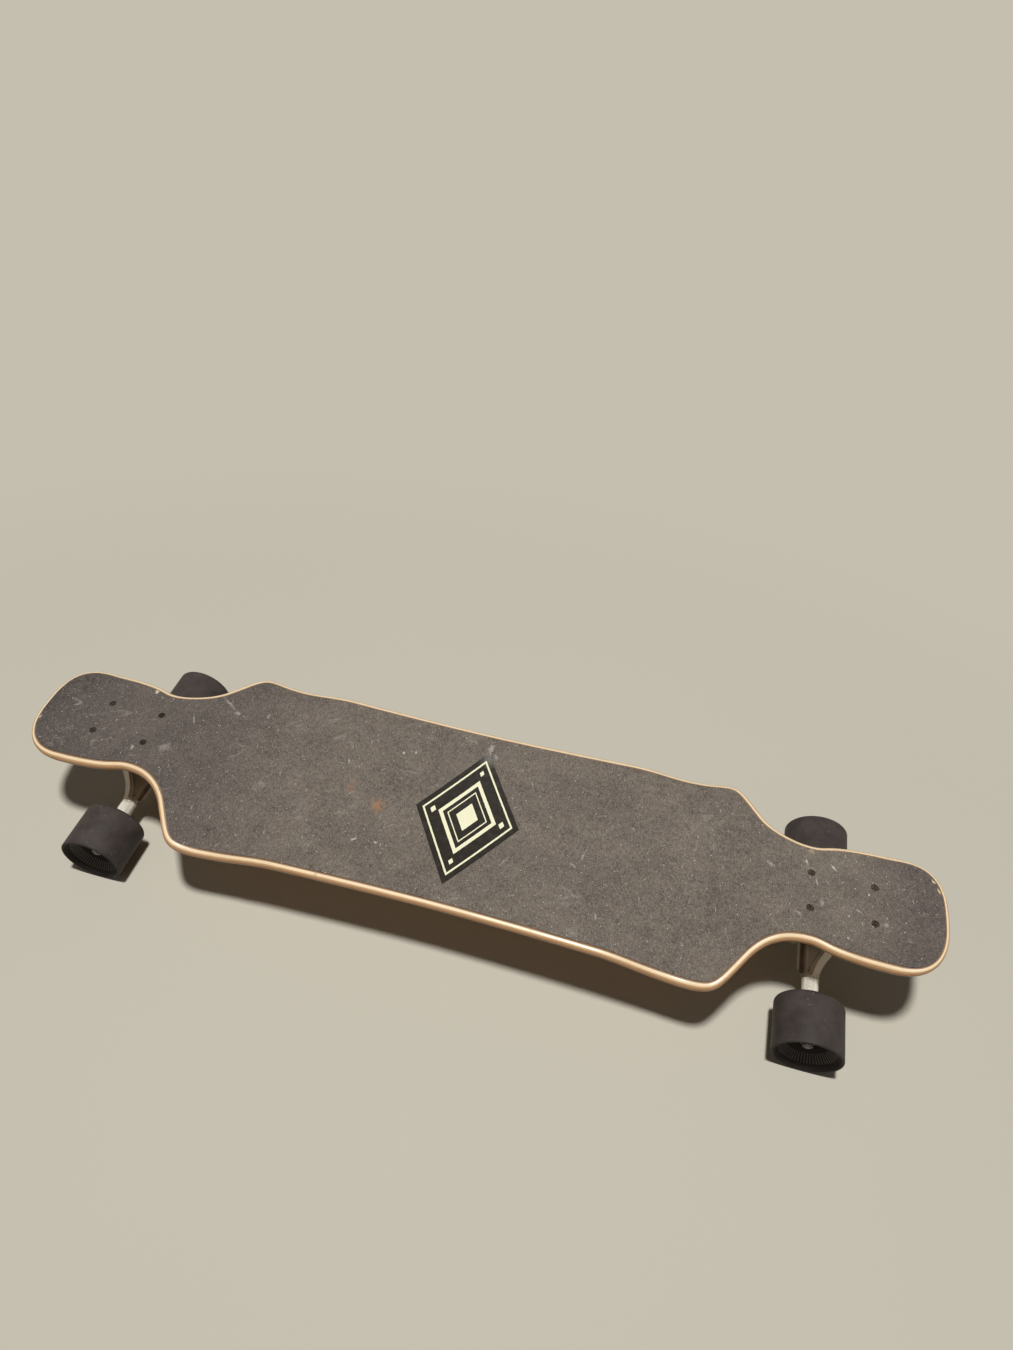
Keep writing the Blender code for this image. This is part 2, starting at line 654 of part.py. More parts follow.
def make_baseplate(name, truck, pivot):
    """A cast plate with a wedge for the kingpin and an arm down to the pivot cup's housing."""
    plate = prism(
        name,
        rounded_rectangle(PLATE_LENGTH, PLATE_WIDTH, PLATE_CORNER),
        -PLATE_THICKNESS,
        0.0,
        truck,
        CAST,
    )
    sunk = -PLATE_THICKNESS / 2
    housing_radius = CUP_RADIUS + FIT + CUP_HOUSING_WALL
    housing_end = NOSE_END + FIT + CUP_FLOOR + FIT + CUP_HOUSING_WALL
    seat_front = pivot_point(RING_DISTANCE + SEAT_RADIUS, SEAT_Z + SEAT_RISE)
    seat_back = pivot_point(RING_DISTANCE - SEAT_RADIUS, SEAT_Z + SEAT_RISE)
    wedge_outline = [
        (WEDGE_FRONT, sunk),
        (-WEDGE_BACK, sunk),
        (-WEDGE_BACK, -WEDGE_BACK_DEPTH),
        seat_back,
        seat_front,
    ]
    wedge = prism(
        name + "_wedge",
        wedge_outline,
        -WEDGE_WIDTH / 2,
        WEDGE_WIDTH / 2,
        truck,
        matrix=side_plane(),
        chamfer=CASTING_CHAMFER,
    )
    arm_end = housing_end - CASTING_CHAMFER
    arm_mouth = CUP_MOUTH + CASTING_CHAMFER
    arm_outline = [
        (0.0, sunk),
        (-ARM_BACK, sunk),
        pivot_point(-arm_end, ARM_ABOVE_PIVOT),
        pivot_point(-arm_end, -ARM_BELOW_PIVOT),
        pivot_point(-arm_mouth, -ARM_BELOW_PIVOT),
        pivot_point(-arm_mouth, ARM_MOUTH_ABOVE_PIVOT),
        seat_back,
    ]
    arm = prism(
        name + "_arm",
        arm_outline,
        -ARM_WIDTH / 2,
        ARM_WIDTH / 2,
        truck,
        matrix=side_plane(),
        chamfer=CASTING_CHAMFER,
    )
    seat = cylinder(
        name + "_seat",
        SEAT_RADIUS,
        SEAT_Z,
        SEAT_Z + SEAT_RISE + SEAT_RADIUS / 2,
        pivot,
        Matrix.Translation((RING_DISTANCE, 0.0, 0.0)),
    )
    along_pivot = Matrix.Rotation(math.radians(90), 4, "Y")
    housing = cylinder(name + "_housing", housing_radius, -housing_end, -CUP_MOUTH, pivot, along_pivot)
    combine(plate, "UNION", wedge, arm, seat, housing)
    pocket = cylinder(
        name + "_pocket",
        CUP_RADIUS + FIT,
        -housing_end + CUP_HOUSING_WALL,
        0.0,
        pivot,
        along_pivot,
    )
    past_plate = TRUCK_HEIGHT + CUT_PAST
    kingpin_profile = [
        (0.0, past_plate),
        (KINGPIN_HEAD_RADIUS + FIT, past_plate),
        (KINGPIN_HEAD_RADIUS + FIT, KINGPIN_HEAD_SEAT),
        (KINGPIN_RADIUS + FIT, KINGPIN_HEAD_SEAT),
        (KINGPIN_RADIUS + FIT, 0.0),
        (0.0, 0.0),
    ]
    place = Matrix.Translation((RING_DISTANCE, 0.0, 0.0))
    kingpin_hole = turned(name + "_kingpin_hole", kingpin_profile, ROUND_STEPS, pivot, None, place)
    combine(plate, "DIFFERENCE", pocket, kingpin_hole)
    for x in (-HOLES_ALONG / 2, HOLES_ALONG / 2 - HOLES_ALONG_SHORT, HOLES_ALONG / 2):
        for side in (-1, 1):
            place = Matrix.Translation((x, side * HOLES_ACROSS / 2, 0.0))
            label = f"{name}_hole_{x * 1000:.0f}_{side}"
            low = -PLATE_THICKNESS - CUT_PAST
            hole = cylinder(label, BOLT_RADIUS + FIT, low, CUT_PAST, truck, place, BOLT_STEPS)
            combine(plate, "DIFFERENCE", hole)
    return plate


def yoke_edge(count):
    """The hanger's outboard edge on its left side, from the end of the cast body in to the ring."""
    start = np.array((HANGER_BOSS_RADIUS, HANGER_BOSS_START))
    bend = np.array((YOKE_WAIST_X, YOKE_WAIST_Y))
    end = np.array((RING_DISTANCE, RING_RADIUS - YOKE_INSIDE / 2))
    t = np.linspace(0.0, 1.0, count)[:, None]
    return (1 - t) ** 2 * start + 2 * (1 - t) * t * bend + t**2 * end


def make_hanger(name, pivot):
    """The cast hanger in its pivot frame: a body round the axle, a ring for the bushings and a pivot nose."""
    across = Matrix.Translation((0.0, 0.0, -RAKE)) @ Matrix.Rotation(math.radians(-90), 4, "X")
    body_profile = [
        (0.0, HANGER_END),
        (HANGER_BOSS_RADIUS, HANGER_END),
        (HANGER_BOSS_RADIUS, HANGER_BOSS_START),
        (HANGER_BODY_RADIUS, HANGER_BOSS_START - HANGER_BODY_STEP),
        (HANGER_BODY_RADIUS, -HANGER_BOSS_START + HANGER_BODY_STEP),
        (HANGER_BOSS_RADIUS, -HANGER_BOSS_START),
        (HANGER_BOSS_RADIUS, -HANGER_END),
        (0.0, -HANGER_END),
    ]
    hanger = turned(name, body_profile, ROUND_STEPS, pivot, CAST, across)
    edge = yoke_edge(YOKE_POINTS)
    left = [tuple(point) for point in edge]
    right = [(x, -y) for x, y in left[::-1]]
    inner_y = HANGER_BOSS_START - YOKE_INSIDE
    yoke_outline = [(0.0, -inner_y), *right[::-1], *left[::-1], (0.0, inner_y)]
    yoke = prism(name + "_yoke", yoke_outline, -YOKE_BOTTOM, YOKE_TOP, pivot)
    spine_outline = [
        (-HANGER_BODY_RADIUS - SPINE_PROUD, -inner_y + SPINE_TAPER),
        (-HANGER_BODY_RADIUS + SPINE_WIDTH, -inner_y),
        (-HANGER_BODY_RADIUS + SPINE_WIDTH, inner_y),
        (-HANGER_BODY_RADIUS - SPINE_PROUD, inner_y - SPINE_TAPER),
    ]
    spine = prism(name + "_spine", spine_outline, -YOKE_BOTTOM, SPINE_TOP, pivot)
    at_ring = Matrix.Translation((RING_DISTANCE, 0.0, 0.0))
    ring = cylinder(name + "_ring", RING_RADIUS, -RING_HEIGHT / 2, RING_HEIGHT / 2, pivot, at_ring)
    nose_profile = [
        (0.0, NOSE_END),
        (NOSE_RADIUS - NOSE_TIP, NOSE_END),
        (NOSE_RADIUS, NOSE_END - NOSE_TIP),
        (NOSE_RADIUS, NOSE_NECK + NOSE_SHOULDER),
        (NOSE_RADIUS + NOSE_SHOULDER, NOSE_NECK),
        (NOSE_RADIUS + NOSE_SHOULDER, 0.0),
        (0.0, 0.0),
    ]
    inboard = Matrix.Rotation(math.radians(-90), 4, "Y")
    nose = turned(name + "_nose", nose_profile, ROUND_STEPS, pivot, None, inboard)
    combine(hanger, "UNION", yoke, spine, nose)
    pocket_edge = [(x - YOKE_FLANGE, y - YOKE_FLANGE / 2) for x, y in left[1:-1]]
    pocket_start = HANGER_BODY_RADIUS - SPINE_WIDTH
    for side in (-1, 1):
        outline = [(-pocket_start, pocket_edge[0][1]), *pocket_edge]
        outline += [(pocket_edge[-1][0], POCKET_RIB), (-pocket_start, POCKET_RIB)]
        outline = [(x, side * y) for x, y in outline]
        if side > 0:
            outline = outline[::-1]
        pocket = prism(f"{name}_pocket_{side}", outline, POCKET_FLOOR, SPINE_TOP + CUT_PAST, pivot)
        combine(hanger, "DIFFERENCE", pocket)
    combine(hanger, "UNION", ring)
    hole_profile = [
        (0.0, RING_HEIGHT),
        (RING_SEAT_RADIUS, RING_HEIGHT),
        (RING_SEAT_RADIUS, RING_FLOOR / 2),
        (RING_HOLE_RADIUS, RING_FLOOR / 2),
        (RING_HOLE_RADIUS, -RING_FLOOR / 2),
        (RING_SEAT_RADIUS, -RING_FLOOR / 2),
        (RING_SEAT_RADIUS, -RING_HEIGHT),
        (0.0, -RING_HEIGHT),
    ]
    ring_hole = turned(name + "_ring_hole", hole_profile, ROUND_STEPS, pivot, None, at_ring)
    reach = HANGER_END + CUT_PAST
    bore = cylinder(name + "_bore", AXLE_RADIUS + FIT, -reach, reach, pivot, across, SMALL_STEPS)
    return combine(hanger, "DIFFERENCE", ring_hole, bore)


def make_pivot_cup(name, pivot):
    """A plain cup, its mouth towards the hanger's nose."""
    inboard = Matrix.Rotation(math.radians(-90), 4, "Y")
    inside = NOSE_RADIUS + FIT
    floor = NOSE_END + FIT
    profile = [
        (0.0, floor + CUP_FLOOR),
        (CUP_RADIUS, floor + CUP_FLOOR),
        (CUP_RADIUS, CUP_MOUTH),
        (inside, CUP_MOUTH),
        (inside, floor - NOSE_TIP),
        (inside - NOSE_TIP, floor),
        (0.0, floor),
    ]
    return turned(name, profile, ROUND_STEPS, pivot, BUSHING, inboard)


def make_kingpin_set(truck_name, pivot):
    """The kingpin with its bushings, cupped washers and nut, along the pivot frame's Z."""
    at_ring = Matrix.Translation((RING_DISTANCE, 0.0, 0.0))
    road_side = at_ring @ Matrix.Rotation(math.pi, 4, "X")
    head_flats = 2 * KINGPIN_HEAD_RADIUS * math.cos(math.radians(30))
    shank_top = KINGPIN_HEAD_TOP - KINGPIN_HEAD_HEIGHT / 2
    kingpin = prism(
        f"{truck_name}_kingpin",
        hexagon(head_flats),
        KINGPIN_HEAD_SEAT + FIT,
        KINGPIN_HEAD_TOP,
        pivot,
        STEEL,
        at_ring,
    )
    end = -KINGPIN_NUT_END - KINGPIN_END_SPARE
    shank_profile = [
        (0.0, shank_top),
        (KINGPIN_RADIUS, shank_top),
        (KINGPIN_RADIUS, end + KINGPIN_CHAMFER),
        (KINGPIN_RADIUS - KINGPIN_CHAMFER, end),
        (0.0, end),
    ]
    shank = turned(f"{truck_name}_kingpin_shank", shank_profile, SMALL_STEPS, pivot, None, at_ring)
    combine(kingpin, "UNION", shank)
    bushing_profile = [
        (KINGPIN_RADIUS + FIT, BUSHING_END),
        (BUSHING_RADIUS - BUSHING_CHAMFER, BUSHING_END),
        (BUSHING_RADIUS, BUSHING_END - BUSHING_CHAMFER),
        (BUSHING_RADIUS, BUSHING_START + BUSHING_CHAMFER),
        (BUSHING_RADIUS - BUSHING_CHAMFER, BUSHING_START),
        (KINGPIN_RADIUS + FIT, BUSHING_START),
    ]
    rim = BUSHING_RADIUS + FIT
    washer_profile = [
        (KINGPIN_RADIUS + FIT, WASHER_END),
        (CUP_WASHER_RADIUS - CUP_WASHER_CHAMFER, WASHER_END),
        (CUP_WASHER_RADIUS, WASHER_END - CUP_WASHER_CHAMFER),
        (CUP_WASHER_RADIUS, WASHER_END - CUP_WASHER_LIP),
        (rim, WASHER_END - CUP_WASHER_LIP),
        (rim, WASHER_START),
        (KINGPIN_RADIUS + FIT, WASHER_START),
    ]
    for side, matrix in (("board", at_ring), ("road", road_side)):
        turned(f"{truck_name}_bushing_{side}", bushing_profile, ROUND_STEPS, pivot, BUSHING, matrix)
        turned(f"{truck_name}_cup_washer_{side}", washer_profile, ROUND_STEPS, pivot, STEEL, matrix)
    nut_place = road_side @ Matrix.Translation((0.0, 0.0, SEAT_Z))
    hex_nut(
        f"{truck_name}_kingpin_nut",
        KINGPIN_NUT_FLATS,
        KINGPIN_NUT_HEIGHT,
        KINGPIN_RADIUS + FIT,
        pivot,
        nut_place,
        STEEL,
    )


def make_wheel(name, wheel):
    """The parts that turn together, in a frame whose local Z points outboard along the axle."""
    half_facet = math.pi / TYRE_STEPS
    outer = WHEEL_RADIUS / math.cos(half_facet)
    bore = CORE_RADIUS + FIT
    core_inner = INNER_BEARING_Y + CORE_LIP
    core_outer = BEARINGS_END_Y - CORE_LIP
    inner_arc = arc(
        (outer - WHEEL_INNER_SHOULDER, WHEEL_INNER_Y + WHEEL_INNER_SHOULDER),
        WHEEL_INNER_SHOULDER,
        0,
        -90,
    )
    outer_arc = arc(
        (outer - WHEEL_OUTER_SHOULDER, WHEEL_OUTER_Y - WHEEL_OUTER_SHOULDER),
        WHEEL_OUTER_SHOULDER,
        90,
        0,
    )
    profile = [
        (bore, core_outer),
        (CORE_RADIUS + COLLAR_WIDTH, core_outer + COLLAR_RISE),
        (WHEEL_RADIUS - WHEEL_OUTER_FACE, WHEEL_OUTER_Y),
        *outer_arc,
        *inner_arc,
        (WHEEL_RADIUS - WHEEL_INNER_FACE, WHEEL_INNER_Y),
        (bore, core_inner),
    ]
    turned(f"{name}_tyre", profile, TYRE_STEPS, wheel, URETHANE, start_angle=half_facet)
    seat = BEARING_RADIUS + FIT
    core_profile = [
        (seat, core_outer),
        (CORE_RADIUS, core_outer),
        (CORE_RADIUS, core_inner),
        (seat, core_inner),
        (seat, INNER_BEARING_Y + BEARING_WIDTH + FIT),
        (BEARING_RADIUS - CORE_SHOULDER, INNER_BEARING_Y + BEARING_WIDTH + FIT),
        (BEARING_RADIUS - CORE_SHOULDER, OUTER_BEARING_Y - FIT),
        (seat, OUTER_BEARING_Y - FIT),
    ]
    turned(f"{name}_core", core_profile, ROUND_STEPS, wheel, CORE)
    for where, start in (("inner", INNER_BEARING_Y), ("outer", OUTER_BEARING_Y)):
        end = start + BEARING_WIDTH
        inner_race = BEARING_BORE_RADIUS + RACE_WALL
        outer_race = BEARING_RADIUS - RACE_WALL
        bearing_profile = [
            (BEARING_BORE_RADIUS, end),
            (inner_race, end),
            (inner_race, end - SHIELD_DEPTH),
            (outer_race, end - SHIELD_DEPTH),
            (outer_race, end),
            (BEARING_RADIUS, end),
            (BEARING_RADIUS, start),
            (BEARING_BORE_RADIUS, start),
        ]
        turned(f"{name}_{where}_bearing", bearing_profile, SMALL_STEPS, wheel, SHIELD)


def make_axle(name, pivot):
    across = Matrix.Translation((0.0, 0.0, -RAKE)) @ Matrix.Rotation(math.radians(-90), 4, "X")
    profile = [
        (0.0, AXLE_HALF),
        (AXLE_RADIUS - AXLE_CHAMFER, AXLE_HALF),
        (AXLE_RADIUS, AXLE_HALF - AXLE_CHAMFER),
        (AXLE_RADIUS, -AXLE_HALF + AXLE_CHAMFER),
        (AXLE_RADIUS - AXLE_CHAMFER, -AXLE_HALF),
        (0.0, -AXLE_HALF),
    ]
    return turned(name, profile, SMALL_STEPS, pivot, STEEL, across)


def make_mounting_bolts(truck_name, truck):
    """Four countersunk bolts down through the deck, with a lock nut on each under the plate."""
    head_top = FIT + DECK_THICKNESS - BOLT_HEAD_SUNK
    neck = head_top - BOLT_HEAD_HEIGHT
    nut_face = -PLATE_THICKNESS - FIT
    end = nut_face - BOLT_NUT_HEIGHT - BOLT_END_SPARE
    profile = [
        (0.0, head_top),
        (BOLT_HEAD_RADIUS, head_top),
        (BOLT_RADIUS, neck),
        (BOLT_RADIUS, end),
        (0.0, end),
    ]
    half_length, half_width = BOLT_DRIVE_RADIUS, BOLT_DRIVE_WIDTH / 2
    cross = [(half_width, half_width), (half_width, half_length), (-half_width, half_length)]
    cross += [(-half_width, half_width), (-half_length, half_width), (-half_length, -half_width)]
    cross += [(-half_width, -half_width), (-half_width, -half_length), (half_width, -half_length)]
    cross += [(half_width, -half_width), (half_length, -half_width), (half_length, half_width)]
    corners = {"inboard": -HOLES_ALONG / 2, "outboard": HOLES_ALONG / 2}
    turn = 1 if truck_name == "front" else -1
    for end_name, x in corners.items():
        for side_name, side in (("left", turn), ("right", -turn)):
            place = Matrix.Translation((x, side * HOLES_ACROSS / 2, 0.0))
            label = f"{truck_name}_{end_name}_{side_name}"
            bolt = turned(f"{label}_bolt", profile, BOLT_STEPS, truck, BLACK_STEEL, place)
            low, high = head_top - BOLT_DRIVE_DEPTH, head_top + CUT_PAST
            drive = prism(f"{label}_drive", cross, low, high, truck, matrix=place)
            combine(bolt, "DIFFERENCE", drive)
            nut_place = place @ Matrix.Translation((0.0, 0.0, nut_face)) @ Matrix.Rotation(math.pi, 4, "X")
            hex_nut(
                f"{label}_nut",
                BOLT_NUT_FLATS,
                BOLT_NUT_HEIGHT,
                BOLT_RADIUS + FIT,
                truck,
                nut_place,
                STEEL,
            )


def make_truck(truck_name, board):
    """One truck. The rear one is the front one turned half round, so its left and right change over."""
    turn = 1 if truck_name == "front" else -1
    place = Matrix.Translation((turn * TRUCK_X, 0.0, PLATE_FACE_Z))
    if turn < 0:
        place = place @ Matrix.Rotation(math.pi, 4, "Z")
    truck = frame(f"{truck_name}_truck", board, place)
    x, z = pivot_point(0.0, 0.0)
    lean = Matrix.Translation((x, 0.0, z)) @ Matrix.Rotation(-PIVOT_RADIANS, 4, "Y")
    pivot = frame(f"{truck_name}_pivot_axis", truck, lean)
    make_baseplate(f"{truck_name}_baseplate", truck, pivot)
    make_pivot_cup(f"{truck_name}_pivot_cup", pivot)
    make_hanger(f"{truck_name}_hanger", pivot)
    make_kingpin_set(truck_name, pivot)
    make_axle(f"{truck_name}_axle", pivot)
    make_mounting_bolts(truck_name, truck)
    for side_name, side in (("left", turn), ("right", -turn)):
        upright = Matrix.Translation((0.0, 0.0, -RAKE)) @ Matrix.Rotation(PIVOT_RADIANS, 4, "Y")
        outboard = upright @ Matrix.Rotation(math.radians(-90 * side), 4, "X")
        wheel_name = f"{truck_name}_{side_name}"
        wheel = frame(f"{wheel_name}_wheel_axis", pivot, outboard)
        make_wheel(wheel_name, wheel)
        nut_place = outboard @ Matrix.Translation((0.0, 0.0, AXLE_NUT_Y))
        hex_nut(
            f"{wheel_name}_axle_nut",
            AXLE_NUT_FLATS,
            AXLE_NUT_HEIGHT,
            AXLE_RADIUS + FIT,
            pivot,
            nut_place,
            STEEL,
        )


def settle():
    """Applies each piece's modifiers and marks its corners sharp, so that only round faces shade smooth."""
    scene = bpy.context.evaluated_depsgraph_get()
    pieces = [obj for obj in BOARD.objects if obj.type == "MESH"]
    meshes = [bpy.data.meshes.new_from_object(obj.evaluated_get(scene)) for obj in pieces]
    for obj, mesh in zip(pieces, meshes):
        obj.modifiers.clear()
        obj.data = mesh
        mesh.shade_smooth()
        mesh.set_sharp_from_angle(angle=math.radians(SHARP_ANGLE))


def main():
    board = frame("board")
    make_deck(board)
    make_grip(board)
    make_label(board)
    for truck_name in ("front", "rear"):
        make_truck(truck_name, board)
    settle()


main()
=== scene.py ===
"""Looks of a drop-platform longboard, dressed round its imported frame.

Sizes are in metres and angles in degrees. +X runs along the board to its front, +Y to its left and +Z up,
and the floor is at z = 0.
"""

import json
import math

import bmesh
import bpy
import numpy as np
from mathutils import Matrix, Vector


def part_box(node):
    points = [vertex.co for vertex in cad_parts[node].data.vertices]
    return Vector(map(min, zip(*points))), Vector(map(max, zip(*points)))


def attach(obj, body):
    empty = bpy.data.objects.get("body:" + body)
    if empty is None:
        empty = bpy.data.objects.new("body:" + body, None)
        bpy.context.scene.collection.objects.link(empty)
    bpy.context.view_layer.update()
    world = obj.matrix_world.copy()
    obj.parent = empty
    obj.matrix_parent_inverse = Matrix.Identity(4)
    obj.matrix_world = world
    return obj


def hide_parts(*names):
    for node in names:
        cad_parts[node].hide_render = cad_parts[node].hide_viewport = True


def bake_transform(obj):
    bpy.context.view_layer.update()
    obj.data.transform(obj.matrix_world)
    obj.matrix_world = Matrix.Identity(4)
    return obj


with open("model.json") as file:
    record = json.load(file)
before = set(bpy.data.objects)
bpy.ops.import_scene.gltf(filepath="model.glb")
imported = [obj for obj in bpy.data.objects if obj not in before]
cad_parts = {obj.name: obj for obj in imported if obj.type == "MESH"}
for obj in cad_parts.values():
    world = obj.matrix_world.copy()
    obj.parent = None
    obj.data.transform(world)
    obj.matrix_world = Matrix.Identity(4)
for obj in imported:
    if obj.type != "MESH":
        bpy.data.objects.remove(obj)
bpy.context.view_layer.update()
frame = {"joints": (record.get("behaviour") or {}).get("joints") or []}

JOINTS = {joint["name"]: joint for joint in frame["joints"]}
TRUCKS = {"front": 1, "rear": -1}
SIDES = {"left": 1, "right": -1}

# running gap between pieces that touch, and the distance under which two points are one
FIT = 0.0003
MERGE = 0.000002

# unevenness made of sines: how many, and how much shorter each is than the one before
RIPPLE_LAYERS, RIPPLE_RATIO = 4, 1.7

# rounded corners: the half angle, in degrees, past which one counts as straight, and the most of a side
# that an arc takes
NEARLY_STRAIGHT = 88.0
ARC_SHARE = 0.48

# deck outline, one quarter of it: half-widths, and the knots' distances from the end of the board
WAIST_HALF = 0.116
WAIST_REACH = 0.092
RAIL_FROM_END, RAIL_HALF, RAIL_ANGLE = 0.261, 0.1225, 4.2
RAIL_REACH_IN, CORNER_REACH = 0.014, 0.0526
CHEEK_FROM_END, CHEEK_HALF, CHEEK_ANGLE = 0.185, 0.0854, -55.9
CHEEK_REACH = 0.0108
NECK_FROM_END, NECK_HALF = 0.131, 0.0565
NECK_REACH_IN, NECK_REACH_OUT = 0.0323, 0.0169
TIP_LENGTH, SHOULDER_HALF, SHOULDER_REACH = 0.0513, 0.0655, 0.0656
TIP_ROUNDNESS = 2.7
CURVE_POINTS = 400

# deck heights
DECK_THICKNESS = 0.0115
DROP = 0.0225
DROP_START_FROM_END, DROP_LENGTH = 0.150, 0.100
CONCAVE = 0.0085
CONCAVE_START_FROM_END, CONCAVE_RUN = 0.258, 0.075
TIP_RISE_LENGTH = 0.057
TIP_RISE = 0.011
TIP_THICKNESS = 0.0078
EDGE_WIDTH = 0.0067
TIP_EDGE_WIDTH = 0.0040
PLIES = 7

# grip sheet and label
GRIP_THICKNESS = 0.0009
GRIP_HOLE_RADIUS = 0.0040
GRIP_HOLE_START = 0.0001
GRIP_EDGE_ROUND = 0.0003
GRIP_WEAR = 0.0007
GRIP_TIP_WEAR = 0.0011
LABEL_THICKNESS = 0.0003
LABEL_LINE_PLACE = 0.875
INK_LIFT = 0.00006
FRAME_POINTS = 64
# the label's lines as (share of the outer one's size, width), its lozenges as (x, y, size) in shares of it
LABEL_LINES = ((1.0, 0.0021), (0.64, 0.0042), (0.44, 0.0013))
LABEL_LOZENGES = ((0, 0, 0.24), (0, -0.382, 0.055), (-0.378, 0, 0.065), (0, 0.382, 0.055), (0.378, 0, 0.065))

# mounting bolts
HOLES_ALONG = 0.0635
HOLES_ACROSS = 0.0413
BOLT_RADIUS = 0.0024
BOLT_HEAD_RADIUS = 0.0044
BOLT_HEAD_SUNK = 0.0006
BOLT_HEAD_HEIGHT = 0.0027
BOLT_HEAD_EDGE = 0.00025
BOLT_DRIVE_REACH = 0.0024
BOLT_DRIVE_WIDTH = 0.0011
BOLT_DRIVE_DEPTH = 0.0014
BOLT_PITCH = 0.0008
BOLT_THREAD = 0.012

# kingpin and what it clamps: the hanger's ring, the bushings, their cupped washers and the nut
RING_DISTANCE = 0.044
RING_FLOOR = 0.009
KINGPIN_RADIUS = 0.00476
KINGPIN_PITCH = 0.00106
KINGPIN_THREAD = 0.017
KINGPIN_END_SPARE = 0.003
KINGPIN_GRIP = 0.0148
KINGPIN_HEAD_FLATS = 0.01368
KINGPIN_HEAD_HEIGHT = 0.006
BUSHING_RADIUS = 0.0123
BUSHING_HEIGHT = 0.0145
BUSHING_WAIST = 0.0006
BUSHING_BEVEL, BUSHING_EDGE = 0.0015, 0.0008
CUP_WASHER_RADIUS = 0.0140
CUP_WASHER_THICKNESS = 0.0013
CUP_WASHER_LIP = 0.0028
CUP_WASHER_BEVEL = 0.0015
CUP_WASHER_ROUNDING = (0.0003, 0.001, 0.001, 0.0005, 0.0005, 0.0008, 0.0002)
KINGPIN_NUT_HEIGHT = 0.008

# axle, and screw threads: their rows in one pitch and the slope of their tips
AXLE_RADIUS = 0.0037
AXLE_PITCH = 0.00106
AXLE_THREAD = 0.014
THREAD_ROWS, THREAD_CHAMFER = 8, 0.8

# hanger, in the pivot's frame: its bosses and body, the ring, the yoke between them with its spine and
# pockets, and the nose; then how far a cut runs past what it cuts
RAKE = 0.005
HANGER_END = 0.090
HANGER_BOSS_START = 0.053
HANGER_BOSS_RADIUS = 0.0086
BOSS_ROUNDING = (0.0003, 0.0006, 0.0001, 0.0001)
HANGER_BODY_RADIUS = 0.0093
RING_RADIUS = 0.017
RING_HEIGHT = 0.014
RING_SEAT_RADIUS = 0.0129
RING_HOLE_RADIUS = 0.00776
RING_EDGE = 0.0012
RING_MACHINED_PAST = (0.00005, 0.001)
YOKE_TOP = 0.004
YOKE_BOTTOM = 0.009
YOKE_CROWN = 0.0018
YOKE_WAIST = (0.014, 0.030)
YOKE_END_HALF = 0.016
YOKE_FLANGE = 0.0046
YOKE_MIDDLE_RIB = 0.0045
YOKE_ROOT, YOKE_TUCK = 0.002, 0.001
SPINE_BACK = 0.0099
SPINE_FRONT = 0.0043
SPINE_TOP = 0.006
SPINE_TAPER = 0.008
POCKET_FLOOR = 0.0008
POCKET_DRAFT = 0.00225
NOSE_RADIUS = 0.0054
NOSE_NECK = 0.0090
NOSE_LENGTH = 0.009
NOSE_TIP = 0.0015
NOSE_SHOULDER = 0.0019
NOSE_EDGE = 0.0006
CUT_SPARE = 0.004

# shade in the yoke's pockets: its soft edge, where it starts, and how it grows inwards and downwards
HOLLOW_EDGE = 0.001
HOLLOW_START, HOLLOW_RUN = 0.003, 0.004
HOLLOW_FADE, HOLLOW_DEPTH = 0.010, 0.003

# baseplate, in the truck's frame: the plate, its wedge and arm, the kingpin's seat and the pivot cup
PLATE_THICKNESS = 0.005
PLATE_LEVELS = ((0, 0), (-0.0036, 0), (-0.0046, 0.0005), (-PLATE_THICKNESS, 0.0016))
PLATE_CORNER = 0.008
PLATE_CUT = (-0.02, 0.01)
PLATE_HOLES = (-0.03175, -0.02225, 0.03175)
WEDGE_FRONT = 0.022
WEDGE_BACK = 0.034
WEDGE_BACK_DEPTH = 0.016
WEDGE_HALF = 0.014
WEDGE_RECESS = 0.0022
WEDGE_RIM, WEDGE_REACH = 0.0045, 0.0155
RECESS_SHIFT = (-0.0035, -0.0005)
RECESS_DRAFT, RIB_DRAFT = 0.003, 0.0012
ARM_BACK = 0.038
ARM_HALF = 0.007
ARM_ABOVE_PIVOT = 0.0064
ARM_MOUTH_ABOVE_PIVOT = 0.0086
ARM_INSET = 0.001
SEAT_RADIUS = 0.0145
SEAT_RISE = 0.002
KINGPIN_CUT = 0.09
CUP_MOUTH = 0.0112
CUP_RADIUS = 0.0083
CUP_FLOOR = 0.0017
CUP_HOUSING_WALL = 0.0021
CUP_ROUNDING = (0, 0.0012, 0.0008, 0.0006, 0.0005, 0.0005, 0)
HOUSING_ROUNDING = (0, 0.003, 0.0004, 0)

# a casting's lattice and rounding passes
VOXEL = 0.0006
ROUNDING_PASSES = 8

# bearings, the washer outside them and the hub that seats them
BEARING_BORE_RADIUS = 0.004
BEARING_RADIUS = 0.011
RACE_WALL, RACE_EDGE = 0.002, 0.0003
SHIELD_DEPTH, SHIELD_GAP, SHIELD_STEP, SHIELD_SWELL = 0.0005, 0.0002, 0.0006, 0.4
SPEED_WASHER_RADIUS = 0.0064
SPEED_WASHER_BACK, SPEED_WASHER_GAP = 0.0002, 0.00003
CORE_SHOULDER, CORE_EDGE = 0.0018, 0.0004

